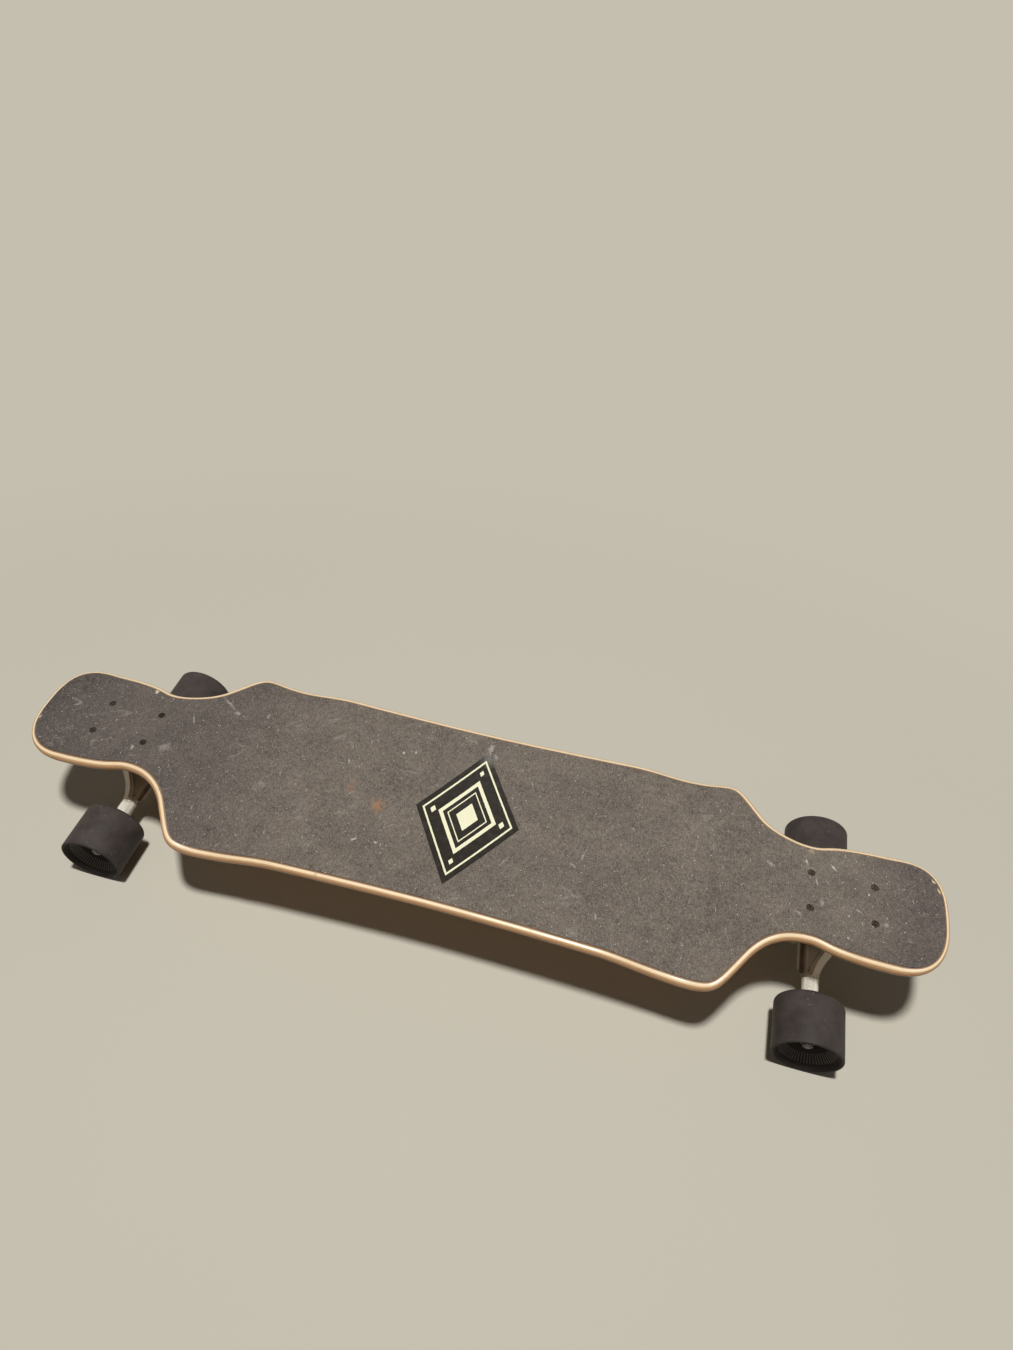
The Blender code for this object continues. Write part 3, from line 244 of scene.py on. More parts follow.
# lock nuts: across flats, their edge, and their form as shares of a size or of the edge
AXLE_NUT_FLATS = 0.0127
KINGPIN_NUT_FLATS = 0.0143
BOLT_NUT_FLATS = 0.0095
NUT_COLLAR_TOP = 0.84
NUT_COLLAR_FOOT = 0.92
NUT_HEXAGON_SHARE = 0.72
NUT_SHOULDER = 0.97
NUT_LIP_SHARE = 0.28
NUT_INSERT_DEPTH = 1.6
NUT_EDGE = 0.0003
NUT_CHAMFER_ANGLE = 25.0

# tyre: its lip, its dishes, the step at the hub, its corners, and the ribs in its recess
TYRE_LIP = 0.003
RECESS_REACH, RECESS_DEPTH = 0.028, 0.006
INNER_DISH = 0.0085
HUB_STEP, HUB_RISE = 0.0017, 0.003
TYRE_ROUNDING = (0.0002, 0.0012, 0.004, 0.001, 0.0025, 0.005, 0.0015, 0.0005)
RIB_COUNT = 56
RIB_INNER, RIB_OUTER, RIB_FADE = 0.0206, 0.0285, 0.0006

# steps round a turned piece
TYRE_STEPS, ROUND_STEPS, SMALL_STEPS = 144, 72, 48

# camera: its place, the turns that aim it and its lens on a 36 mm frame
CAMERA_PLACE = (0.1672, -0.5185, 0.9202)
CAMERA_TURN = 13.395
CAMERA_DOWN = 47.358
CAMERA_ROLL = 2.43
CAMERA_LENS = 23.564
CAMERA_FRAME = 36.0


def lowest(node):
    return np.array(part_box(node)[0])


def highest(node):
    return np.array(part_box(node)[1])


DECK_END = highest("deck")[0]
PLATE_FACE_Z = highest("front_baseplate")[2]
DECK_TOP_Z = PLATE_FACE_Z + FIT + DECK_THICKNESS
GRIP_TOP_LIFT = FIT + GRIP_THICKNESS
TRUCK_X = (lowest("front_baseplate")[0] + highest("front_baseplate")[0]) / 2
AXLE_X, _, WHEEL_RADIUS = JOINTS["front_left_spin"]["pos_m"]
WHEEL_INNER_Y = lowest("front_left_tyre")[1]
WHEEL_OUTER_Y = highest("front_left_tyre")[1]
LABEL_MIDDLE = (lowest("label") + highest("label")) / 2
LABEL_ALONG, LABEL_ACROSS, _ = highest("label") - lowest("label")
DROP_START_X = DECK_END - DROP_START_FROM_END
CONCAVE_START_X = DECK_END - CONCAVE_START_FROM_END
# distances along the kingpin from the middle of the hanger's ring, and then down the steering axis from its
# nearest point to the axle
BUSHING_START = RING_FLOOR / 2 + FIT
BUSHING_END = BUSHING_START + BUSHING_HEIGHT
WASHER_START = BUSHING_END + FIT
WASHER_END = WASHER_START + CUP_WASHER_THICKNESS
SEAT_Z = WASHER_END + FIT
NOSE_END = NOSE_NECK + NOSE_LENGTH
HOUSING_END = NOSE_END + 2 * FIT + CUP_FLOOR + CUP_HOUSING_WALL


class Place:
    """A local frame: its origin, and its axes as the rows of a matrix, both in the board's frame."""

    def __init__(self, origin, x_axis, y_axis):
        x_axis, y_axis = np.array(x_axis, float), np.array(y_axis, float)
        self.origin = np.array(origin, float)
        self.axes = np.array([x_axis, y_axis, np.cross(x_axis, y_axis)])

    def points(self, local):
        return self.origin + np.asarray(local, float) @ self.axes

    def at(self, offset, x_axis=(1, 0, 0), y_axis=(0, 1, 0)):
        """A place whose offset and axes are given in this one."""
        turned_axes = np.array([x_axis, y_axis], float) @ self.axes
        return Place(self.points(offset), *turned_axes)

    def against_x(self):
        """This place turned so that its z runs against its x."""
        return self.at((0, 0, 0), (0, 0, 1), (0, 1, 0))


LOCAL = Place((0, 0, 0), (1, 0, 0), (0, 1, 0))


def truck_place(truck):
    """The middle of a truck's mounting face, x outboard along the board."""
    turn = TRUCKS[truck]
    return Place((turn * TRUCK_X, 0, PLATE_FACE_Z), (turn, 0, 0), (0, turn, 0))


def pivot_place(truck):
    """The steering axis's nearest point to the axle, x along that axis and up."""
    joint = JOINTS[f"{truck}_steer"]
    return Place(joint["pos_m"], joint["axis"], (0, TRUCKS[truck], 0))


def ring_place(truck, flip=False):
    """The middle of the hanger's ring, z along the kingpin, towards the board or towards the road."""
    return pivot_place(truck).at((RING_DISTANCE, 0, 0), y_axis=(0, -1 if flip else 1, 0))


def wheel_place(wheel):
    """The middle of a wheel's axle, z outboard along it."""
    truck, side = wheel.split("_")
    return Place((TRUCKS[truck] * AXLE_X, 0, WHEEL_RADIUS), (0, 0, 1), (SIDES[side], 0, 0))


def smooth_step(value):
    """0 below 0, 1 above 1, and a smooth S between."""
    t = np.clip(value, 0.0, 1.0)
    return t * t * (3.0 - 2.0 * t)


def ripple(distance, length, seed):
    """An even, repeatable unevenness between about -1 and 1: sines of shorter and shorter length, summed."""
    phases = np.random.default_rng(seed).uniform(0, 2 * math.pi, RIPPLE_LAYERS)
    powers = RIPPLE_RATIO ** np.arange(RIPPLE_LAYERS)
    turns = 2 * math.pi * distance[:, None] * powers / length + phases
    return (np.sin(turns) / powers).sum(axis=1) / (1 / powers).sum()


def cells(size, wraps, start):
    """Corner numbers of the four-cornered cells of a grid of points, which may close on itself either way."""
    i, j = (np.arange(count if wrap else count - 1) for count, wrap in zip(size, wraps))
    i, j = i[:, None], j[None, :]
    i2, j2, across = (i + 1) % size[0], (j + 1) % size[1], size[1]
    corners = [i * across + j, i * across + j2, i2 * across + j2, i2 * across + j]
    return np.stack(corners, axis=-1).reshape(-1, 4) + start


def grid(points, wrap_along=False, wrap_across=False, keep=None, **values):
    """One sheet of a piece: points of shape (along, across, 3), with values on each point by name."""
    points = np.asarray(points, float)
    return {"points": points, "wraps": (wrap_along, wrap_across), "keep": keep, "values": values}


def capped(rings):
    """A closed form: rings of points along it, with each end drawn in to its middle."""
    rings = np.asarray(rings, float)
    first, last = rings[:1].mean(axis=1, keepdims=True), rings[-1:].mean(axis=1, keepdims=True)
    return grid(np.concatenate([first + 0 * rings[:1], rings, last + 0 * rings[-1:]]), wrap_across=True)


def surface(name, sheets):
    """A mesh made of sheets that meet: their shared points are merged and their faces point outwards."""
    sizes = [sheet["points"].shape[:2] for sheet in sheets]
    starts = np.cumsum([0] + [along * across for along, across in sizes])
    faces, materials = [], []
    for sheet, size, start in zip(sheets, sizes, starts):
        quads = cells(size, sheet["wraps"], start)
        if sheet["keep"] is not None:
            quads = quads[sheet["keep"].ravel()]
        faces.append(quads)
        materials.append(np.broadcast_to(sheet["values"].get("finish", 0), len(quads)))
    mesh = bpy.data.meshes.new(name)
    points = np.concatenate([sheet["points"].reshape(-1, 3) for sheet in sheets])
    mesh.from_pydata(points, [], np.concatenate(faces).tolist())
    mesh.polygons.foreach_set("material_index", np.concatenate(materials).astype(np.int32))
    for key in sorted({key for sheet in sheets for key in sheet["values"]} - {"finish"}):
        values = [sheet["values"].get(key, 0.0) for sheet in sheets]
        shared = [np.broadcast_to(value, size).ravel() for value, size in zip(values, sizes)]
        mesh.attributes.new(key, "FLOAT", "POINT").data.foreach_set("value", np.concatenate(shared))
    shape = bmesh.new()
    shape.from_mesh(mesh)
    bmesh.ops.remove_doubles(shape, verts=shape.verts[:], dist=MERGE)
    bmesh.ops.dissolve_degenerate(shape, edges=shape.edges[:], dist=MERGE)
    bmesh.ops.recalc_face_normals(shape, faces=shape.faces[:])
    shape.to_mesh(mesh)
    shape.free()
    return mesh


def piece(name, body, finishes, sheets, replaces=(), smooth_angle=40.0):
    """A new object made of sheets, which rides on a body."""
    obj = bpy.data.objects.new(name, surface(name, sheets))
    dress(obj, body, finishes, replaces, smooth_angle)


def show(obj, finishes, smooth_angle=40.0):
    """Links a piece, shades it and gives it its materials."""
    bpy.context.scene.collection.objects.link(obj)
    for finish in finishes:
        obj.data.materials.append(finish)
    obj.data.shade_smooth()
    obj.data.set_sharp_from_angle(angle=math.radians(smooth_angle))


def dress(obj, body, finishes, replaces=(), smooth_angle=40.0):
    """Shows a piece and ties it to a body of the frame."""
    show(obj, finishes, smooth_angle)
    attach(obj, body)
    if replaces:
        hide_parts(*replaces)


def rounded(profile, radius, steps=4):
    """A profile whose corners are arcs of a radius, one for all or one each, limited by the sides they
    join."""
    profile = np.array(profile, float)
    radii = np.broadcast_to(radius, len(profile))
    points = [profile[:1]]
    for before, corner, after, size in zip(profile, profile[1:], profile[2:], radii[1:]):
        back, ahead = before - corner, after - corner
        long_back, long_ahead = np.linalg.norm(back), np.linalg.norm(ahead)
        back, ahead = back / long_back, ahead / long_ahead
        half = math.acos(np.clip(back @ ahead, -1, 1)) / 2
        if size <= 0 or half > math.radians(NEARLY_STRAIGHT):
            points.append(corner[None])
            continue
        reach = min(size / math.tan(half), ARC_SHARE * long_back, ARC_SHARE * long_ahead)
        size = reach * math.tan(half)
        centre = corner + (back + ahead) / np.linalg.norm(back + ahead) * size / math.sin(half)
        first, last = corner + back * reach - centre, corner + ahead * reach - centre
        start = math.atan2(first[1], first[0])
        sweep = (math.atan2(last[1], last[0]) - start + math.pi) % (2 * math.pi) - math.pi
        angles = start + sweep * np.linspace(0, 1, steps + 1)
        points.append(centre + size * np.stack([np.cos(angles), np.sin(angles)], axis=1))
    return np.concatenate([*points, profile[-1:]])


def ring_of(profile, radius, steps):
    """A closed profile, its first corner between its second and last, with rounded corners."""
    profile = np.array(profile, float)
    middle = (profile[-1] + profile[0]) / 2
    radii = (0, *np.broadcast_to(radius, len(profile)), 0)
    return rounded(np.concatenate([[middle], profile, [middle]]), radii, steps)[:-1]


def band(inner, outer, low, high):
    """A rectangular profile between two radii and two heights."""
    return [(inner, high), (outer, high), (outer, low), (inner, low)]


def spun(place, *blocks, steps=ROUND_STEPS, closed=False):
    """Rings of points round the place's z: x = radius cos a, y = radius sin a, z = height.

    A block is (radii, heights), with one of each for a ring or, where it isn't round, one for each step."""
    angle, rows = turn_angles(steps), []
    for block in blocks:
        size = len(block[1])
        shaped = (np.asarray(values, float).reshape(size, -1) for values in block)
        rows.append([np.broadcast_to(values, (size, steps)) for values in shaped])
    radius, height = np.concatenate(rows, axis=1)
    local = np.stack([radius * np.cos(angle), radius * np.sin(angle), height], axis=-1)
    return grid(place.points(local), wrap_along=closed, wrap_across=True)


def turn_angles(steps):
    return np.linspace(0, 2 * math.pi, steps, endpoint=False)


def turned(profile, place, steps=ROUND_STEPS, closed=False):
    """A profile of (radius, height) points turned about the place's z."""
    return spun(place, np.array(profile, float).T, steps=steps, closed=closed)


def turned_ring(profile, place, radius, corner_steps):
    """A closed profile with rounded corners, turned about the place's z."""
    return turned(ring_of(profile, radius, corner_steps), place, closed=True)


def hexagon_rows(flats, low, high, foot, steps):
    """Radii and heights of a hexagon whose corners are turned off by a cone at each end: at each point the
    least of the distance to the hexagon's side and the two cones' radii, which start at the foot's."""
    slope = math.tan(math.radians(NUT_CHAMFER_ANGLE))
    rise = slope * (flats / math.sqrt(3) - foot)
    heights = np.concatenate([np.linspace(low, low + rise, 8), np.linspace(high - rise, high, 8)])[:, None]
    sector = math.pi / 3
    hexagon = flats / 2 / np.cos(turn_angles(steps) % sector - sector / 2)
    cones = foot + np.minimum(heights - low, high - heights) * (1 / slope)
    return np.minimum(hexagon, cones), heights[:, 0]


def hex_nut(place, flats, height, hole):
    """A lock nut standing on z = 0: a hexagon, then a collar bent in over a polymer insert, and a hole."""
    steps, edge = 2 * ROUND_STEPS, NUT_EDGE
    collar = height * NUT_HEXAGON_SHARE
    foot, top = flats / 2 * NUT_COLLAR_FOOT, flats / 2 * NUT_COLLAR_TOP
    lip = top - NUT_LIP_SHARE * (top - hole)
    insert = height - NUT_INSERT_DEPTH * edge
    body = hexagon_rows(flats, 0, collar, foot, steps)
    radii = [foot * NUT_SHOULDER, top, top - 0.5 * edge, lip + edge]
    outside = (radii, [collar, height - 2.5 * edge, height - edge / 2, height])
    radii = [lip, lip, hole + edge, hole, hole, hole + edge]
    inside = (radii, [height - edge, insert, insert, insert - edge, edge, 0])
    sheet = spun(place, body, outside, inside, steps=steps, closed=True)
    rows = np.arange(len(sheet["points"]))[:, None] - len(body[1]) - len(outside[1])
    sheet["values"]["finish"] = np.repeat((rows >= 1) & (rows <= 3), steps).astype(int)
    return sheet


def thread_rows(radius, low, high, pitch, steps):
    """Radii and heights of a screw thread that ends at a chamfered tip: the radius falls off each crest along
    a helix, by half the distance along the screw to the nearest turn, and the crests fade at the tip."""
    height = np.linspace(low, high, int((high - low) / pitch * THREAD_ROWS))[:, None]
    turn = (height / pitch - turn_angles(steps) / (2 * math.pi)) % 1.0
    depth = 0.5 * pitch * np.abs(2 * turn - 1) * smooth_step((height - low) / pitch)
    tip = np.maximum(height - (high - pitch), 0)
    return radius - depth * smooth_step((high - height) / pitch) - tip * THREAD_CHAMFER, height[:, 0]


def bezier(start, handle_start, handle_end, end):
    """Points of a cubic Bezier curve, without its last one."""
    t = np.linspace(0.0, 1.0, CURVE_POINTS, endpoint=False)[:, None]
    handles = 3 * (1 - t) ** 2 * t * handle_start, 3 * (1 - t) * t**2 * handle_end
    return (1 - t) ** 3 * start + handles[0] + handles[1] + t**3 * end


def along_angle(point, angle, reach):
    """The point at a distance from another, in a direction given in degrees."""
    turn = math.radians(angle)
    return (point[0] + reach * math.cos(turn), point[1] + reach * math.sin(turn))


def quarter_outline():
    """The deck's edge in plan from the middle of its left side to the tip: four Bezier runs, and a
    quarter of a superellipse round the tip."""
    knots = (  # place, direction, and how far the handles reach back and ahead
        ((0.0, WAIST_HALF), 0, 0, WAIST_REACH),
        ((DECK_END - RAIL_FROM_END, RAIL_HALF), RAIL_ANGLE, RAIL_REACH_IN, CORNER_REACH),
        ((DECK_END - CHEEK_FROM_END, CHEEK_HALF), CHEEK_ANGLE, CORNER_REACH, CHEEK_REACH),
        ((DECK_END - NECK_FROM_END, NECK_HALF), 0, NECK_REACH_IN, NECK_REACH_OUT),
        ((DECK_END - TIP_LENGTH, SHOULDER_HALF), 0, SHOULDER_REACH, 0),
    )
    runs = []
    for (start, angle, _, ahead), (end, end_angle, back, _) in zip(knots, knots[1:]):
        runs.append(bezier(start, along_angle(start, angle, ahead), along_angle(end, end_angle, -back), end))
    turn = np.linspace(math.pi / 2, 0.0, 3 * CURVE_POINTS + 1)
    power = 2.0 / TIP_ROUNDNESS
    tip_x = DECK_END - TIP_LENGTH + TIP_LENGTH * np.abs(np.cos(turn)) ** power
    tip_y = SHOULDER_HALF * np.abs(np.sin(turn)) ** power
    tip_y[-1] = 0.0
    return np.concatenate([*runs, np.stack([tip_x, tip_y], axis=1)])


def past_tip_start(x):
    """How far along a tip a point lies: 0 up to where the tip starts to rise, and 1 at the board's end."""
    return np.maximum(np.abs(x) - DECK_END + TIP_RISE_LENGTH, 0.0) / TIP_RISE_LENGTH


def surface_height(x, y):
    """Height of the deck's top: flat at the trucks, a dropped platform with raised rails, and raised tips."""
    along_x = np.abs(x)
    drop = DROP * smooth_step((DROP_START_X - along_x) / DROP_LENGTH)
    bowl = CONCAVE * smooth_step((CONCAVE_START_X - along_x) / CONCAVE_RUN)
    return DECK_TOP_Z - drop + bowl * (y / WAIST_HALF) ** 2 + TIP_RISE * past_tip_start(x) ** 2


def thickness(x):
    return DECK_THICKNESS + (TIP_THICKNESS - DECK_THICKNESS) * smooth_step(past_tip_start(x))


def on_deck(x, y, lift=0.0, depth=0.0):
    """Points at (x, y), below the deck's top by a share of its thickness, and then lifted."""
    return np.stack(np.broadcast_arrays(x, y, surface_height(x, y) - depth * thickness(x) + lift), axis=-1)


# stations along the board, as (distance from the middle of the truck, cells up to the next one)
WINDOW = 0.0065
WINDOW_CELLS = 8
PLATFORM_CELLS = 120
BETWEEN_CELLS = 16
TIP_CELLS = 46
OUTSIDE_CELLS = 14
MIDDLE_CELLS = 12
# rings between a window's edge and its hole, as shares of the way
TUBE_SHARES = (0.0, 0.35, 0.7)


class Deck:
    """The deck's plan, sampled in stations along the board and lines across it.

    Stations follow the edge evenly, but for those beside the mounting holes, which lie at a fixed distance
    from them, so that each hole has a square window in the grid. The lines beside the holes run straight
    along the board, and draw together at the tips.
    """

    def __init__(self):
        edge = quarter_outline()
        step = np.linalg.norm(np.diff(edge, axis=0), axis=1)
        distance = np.concatenate([[0], np.cumsum(step)])
        tangent = np.gradient(edge, distance, axis=0)
        tangent[0], tangent[-1] = (1, 0), (0, -1)
        tangent /= np.linalg.norm(tangent, axis=1)[:, None]
        inward = np.stack([tangent[:, 1], -tangent[:, 0]], axis=1)
        narrowing = smooth_step(past_tip_start(edge[:, 0]))
        width = EDGE_WIDTH + (TIP_EDGE_WIDTH - EDGE_WIDTH) * narrowing
        breaks = [0.0]
        for hole in (-HOLES_ALONG / 2, HOLES_ALONG / 2):
            breaks += [TRUCK_X + hole - WINDOW, TRUCK_X + hole + WINDOW]
        stops = [*np.interp(breaks, edge[:, 0] + inward[:, 0] * width, distance), distance[-1]]
        counts = [PLATFORM_CELLS, WINDOW_CELLS, BETWEEN_CELLS, WINDOW_CELLS, TIP_CELLS]
        runs = [np.linspace(a, b, n, endpoint=False) for a, b, n in zip(stops, stops[1:], counts)]
        at = np.concatenate([*runs, stops[-1:]])
        mirrored = []
        for values, sign in zip((*edge.T, *inward.T, width, at), (-1, 1, -1, 1, 1, -1)):
            quarter = at if values is at else np.interp(at, distance, values)
            mirrored.append(np.concatenate([sign * quarter[:0:-1], quarter]))
        self.x, self.y, self.normal_x, self.normal_y, self.width, self.distance = mirrored
        middle = len(at) - 1
        rows = np.cumsum([PLATFORM_CELLS, WINDOW_CELLS + BETWEEN_CELLS])
        rows = [*(middle + rows), *(middle - rows - WINDOW_CELLS)]
        lines = (OUTSIDE_CELLS, OUTSIDE_CELLS + WINDOW_CELLS + MIDDLE_CELLS)
        # first row and first line of each hole's window
        self.holes = [(row, line) for row in rows for line in lines]

    def left_edge(self, share, further=0.0):
        """The left edge moved inwards by a share of the rounded edge's width, and by a further distance."""
        offset = share * self.width + further
        return self.x + self.normal_x * offset, np.maximum(self.y + self.normal_y * offset, 0.0)

    def loop(self, left, right):
        """Values on the left edge, rear to front, followed by those on the right edge, back to the rear."""
        return np.concatenate([left, right[-2:0:-1]])

    def ring(self, share, lift=0.0, depth=0.0, further=0.0):
        """The whole edge as a closed loop of points."""
        x, y = self.left_edge(share, further)
        return on_deck(self.loop(x, x), self.loop(y, -y), lift, depth)

    def face(self, lift=0.0, depth=0.0, further=0.0):
        """The grid of points inside the rounded edge. Its lines are even between the holes, over them and
        outside them."""
        x, half = self.left_edge(1.0, further)
        shoulder = DECK_END - TIP_LENGTH
        narrow = np.where(np.abs(x) > shoulder, half / half[np.argmin(np.abs(x - shoulder))], 1.0)
        low, high = (HOLES_ACROSS / 2 - WINDOW) * narrow, (HOLES_ACROSS / 2 + WINDOW) * narrow
        outer = np.linspace(half, high, OUTSIDE_CELLS, endpoint=False)
        window = np.linspace(high, low, WINDOW_CELLS, endpoint=False)
        inner = np.linspace(low, 0 * low, MIDDLE_CELLS // 2, endpoint=False)
        left = np.concatenate([outer, window, inner])
        lines = np.concatenate([left, 0 * left[:1], -left[::-1]]).T
        return on_deck(x[:, None], lines, lift, depth)

    def faces(self, top, bottom, **values):
        """A top and a bottom face without the windows, and values for the bottom one."""
        keep = np.ones((top.shape[0] - 1, top.shape[1] - 1), bool)
        for row, line in self.holes:
            keep[row : row + WINDOW_CELLS, line : line + WINDOW_CELLS] = False
        return [grid(top, keep=keep), grid(bottom, keep=keep, **values)]

    def tubes(self, top, bottom, profile, **values):
        """Sheets that line the mounting holes: from a window's edge in to the profile's first radius, down
        its (radius, depth) points, and out to the window's edge below."""
        shares = np.array(TUBE_SHARES)[:, None, None]
        for upper, lower in zip(self.windows(top), self.windows(bottom)):
            middle = (upper.min(axis=0) + upper.max(axis=0)) / 2
            bearing = (upper - middle) * (1, 1, 0)
            bearing /= np.linalg.norm(bearing, axis=1)[:, None]
            rings = [middle + bearing * radius - (0, 0, down) for radius, down in profile]
            opening = upper * (1 - shares) + rings[0] * shares
            closing = lower * (1 - shares[::-1]) + rings[-1] * shares[::-1]
            yield grid(np.concatenate([opening, rings, closing]), wrap_across=True, **values)

    def windows(self, points):
        """Each window's edge on a face, as a closed loop of points."""
        for row, line in self.holes:
            patch = points[row : row + WINDOW_CELLS + 1, line : line + WINDOW_CELLS + 1]
            yield np.concatenate([patch[0, :-1], patch[:-1, -1], patch[-1, :0:-1], patch[:0:-1, 0]])


def make_deck(deck, finish):
    """The maple deck: a top and a bottom face joined round the edge by half an ellipse, with countersunk
    holes. Each point carries its depth in the plies and its distance along the edge."""
    angles = np.linspace(0, math.pi, 17)
    rings = np.stack([deck.ring(1 - math.sin(a), depth=(1 - math.cos(a)) / 2) for a in angles], axis=1)
    distance = deck.loop(deck.distance, deck.distance)[:, None]
    edge = grid(rings, wrap_along=True, depth=(1 - np.cos(angles)) / 2, distance=distance)
    cone_bottom = BOLT_HEAD_SUNK + BOLT_HEAD_HEIGHT + FIT
    head, shank = BOLT_HEAD_RADIUS + FIT, BOLT_RADIUS + FIT
    profile = [(head, 0), (head, BOLT_HEAD_SUNK + FIT), (shank, cone_bottom), (shank, DECK_THICKNESS)]
    faces = deck.face(), deck.face(depth=1.0)
    sheets = [*deck.faces(*faces, depth=1.0), edge, *deck.tubes(*faces, profile, depth=0.5)]
    piece("deck_maple", "board", [finish], sheets, ["deck"])


def make_grip(deck, finish):
    """The grip sheet: it follows the deck's top, with a worn, uneven edge and eight punched holes."""
    worn = GRIP_WEAR * (1 + ripple(deck.distance, length=0.09, seed=3)) / 2
    at_tip = GRIP_TIP_WEAR * smooth_step(past_tip_start(deck.x))
    worn += at_tip * np.maximum(ripple(deck.distance, length=0.05, seed=8), 0)
    worn_right = GRIP_WEAR * (1 + ripple(deck.distance, length=0.07, seed=5)) / 2
    further, top = (worn + worn_right) / 2, GRIP_TOP_LIFT
    faces = deck.face(top, further=further + GRIP_EDGE_ROUND), deck.face(FIT, further=further)
    levels = ((FIT, 0.0), (top - GRIP_EDGE_ROUND, 0.0), (top - GRIP_EDGE_ROUND / 3, 0.3), (top, 1.0))
    rings = [deck.ring(1.0, lift, further=further + share * GRIP_EDGE_ROUND) for lift, share in levels]
    profile = [(GRIP_HOLE_RADIUS, GRIP_HOLE_START), (GRIP_HOLE_RADIUS, GRIP_THICKNESS)]
    edge = grid(np.stack(rings, axis=1), wrap_along=True)
    sheets = [*deck.faces(*faces), edge, *deck.tubes(*faces, profile)]
    piece("grip_tape", "board", [finish], sheets, ["grip_sheet"])


def diamond(middle, along, across, lift, count):
    """A diamond on the deck's top: from two of its sides' shares u and v, x = (u + v - 1) along / 2 and
    y = (u - v) across / 2."""
    u, v = np.meshgrid(np.linspace(0, 1, count), np.linspace(0, 1, count), indexing="ij")
    return on_deck(middle[0] + (u + v - 1) * along / 2, middle[1] + (u - v) * across / 2, lift)


def diamond_frame(middle, along, across, width, lift):
    """A line of even width inside a diamond's edge, as a closed band."""
    side = math.hypot(along / 2, across / 2)
    share = 1 - 2 * width * side / (along * across / 2)
    corners = np.array([(along / 2, 0), (0, across / 2), (-along / 2, 0), (0, -across / 2)])
    t = np.linspace(0, 1, FRAME_POINTS, endpoint=False)[:, None]
    edge = np.concatenate([a * (1 - t) + b * t for a, b in zip(corners, np.roll(corners, -1, axis=0))])
    line = np.stack([edge, edge * share], axis=1) + np.array(middle[:2])
    return on_deck(line[..., 0], line[..., 1], lift)


def plate_of(points, under, wrap=False):
    """A thin closed plate: a sheet of points, the same sheet a little lower, and walls between them."""
    below = points - (0, 0, under)
    sheets = [grid(points, wrap_along=wrap), grid(below, wrap_along=wrap)]
    edges = [(points[:, end], below[:, end]) for end in (0, -1)]
    if not wrap:
        edges += [(points[end], below[end]) for end in (0, -1)]
    return sheets + [grid(np.stack(edge, axis=1), wrap_along=wrap) for edge in edges]


def make_label(ground, ink):
    """A printed black diamond, with a plain line inside its edge, two more rings and a few plain lozenges."""
    lift, under = GRIP_TOP_LIFT + FIT + LABEL_THICKNESS - INK_LIFT, LABEL_THICKNESS - INK_LIFT
    sheets = plate_of(diamond(LABEL_MIDDLE, LABEL_ALONG, LABEL_ACROSS, lift, 40), under)
    piece("label_sheet", "board", [ground], sheets, ["label"])
    top = lift + INK_LIFT
    along, across = LABEL_ALONG * LABEL_LINE_PLACE, LABEL_ACROSS * LABEL_LINE_PLACE
    sheets = []
    for share, width in LABEL_LINES:
        line = diamond_frame(LABEL_MIDDLE, along * share, across * share, width, top)
        sheets += plate_of(line, INK_LIFT, True)
    for x, y, size in LABEL_LOZENGES:
        middle = LABEL_MIDDLE + (x * along, y * across, 0)
        sheets += plate_of(diamond(middle, along * size, across * size, top, 12), INK_LIFT)
    piece("label_print", "board", [ink], sheets)


def set_input(tree, node, socket, value):
    """Links a node's output to another node's input, or sets the input to a constant."""
    target = node.inputs[socket]
    if isinstance(value, bpy.types.NodeSocket):
        tree.links.new(value, target)
    elif target.type == "RGBA":
        target.default_value = (*value, 1.0)
    else:
        target.default_value = value


def add_node(tree, kind, inputs, output=0, **settings):
    """What a new node gives, once it has its settings and inputs."""
    node = tree.nodes.new(f"ShaderNode{kind}")
    for name, value in settings.items():
        setattr(node, name, value)
    for socket, value in inputs.items():
        set_input(tree, node, socket, value)
    return node.outputs[output]


# the part of a speck and of a spot that keeps its full strength
SPECK_CORE, SPOT_CORE = 0.4, 0.1


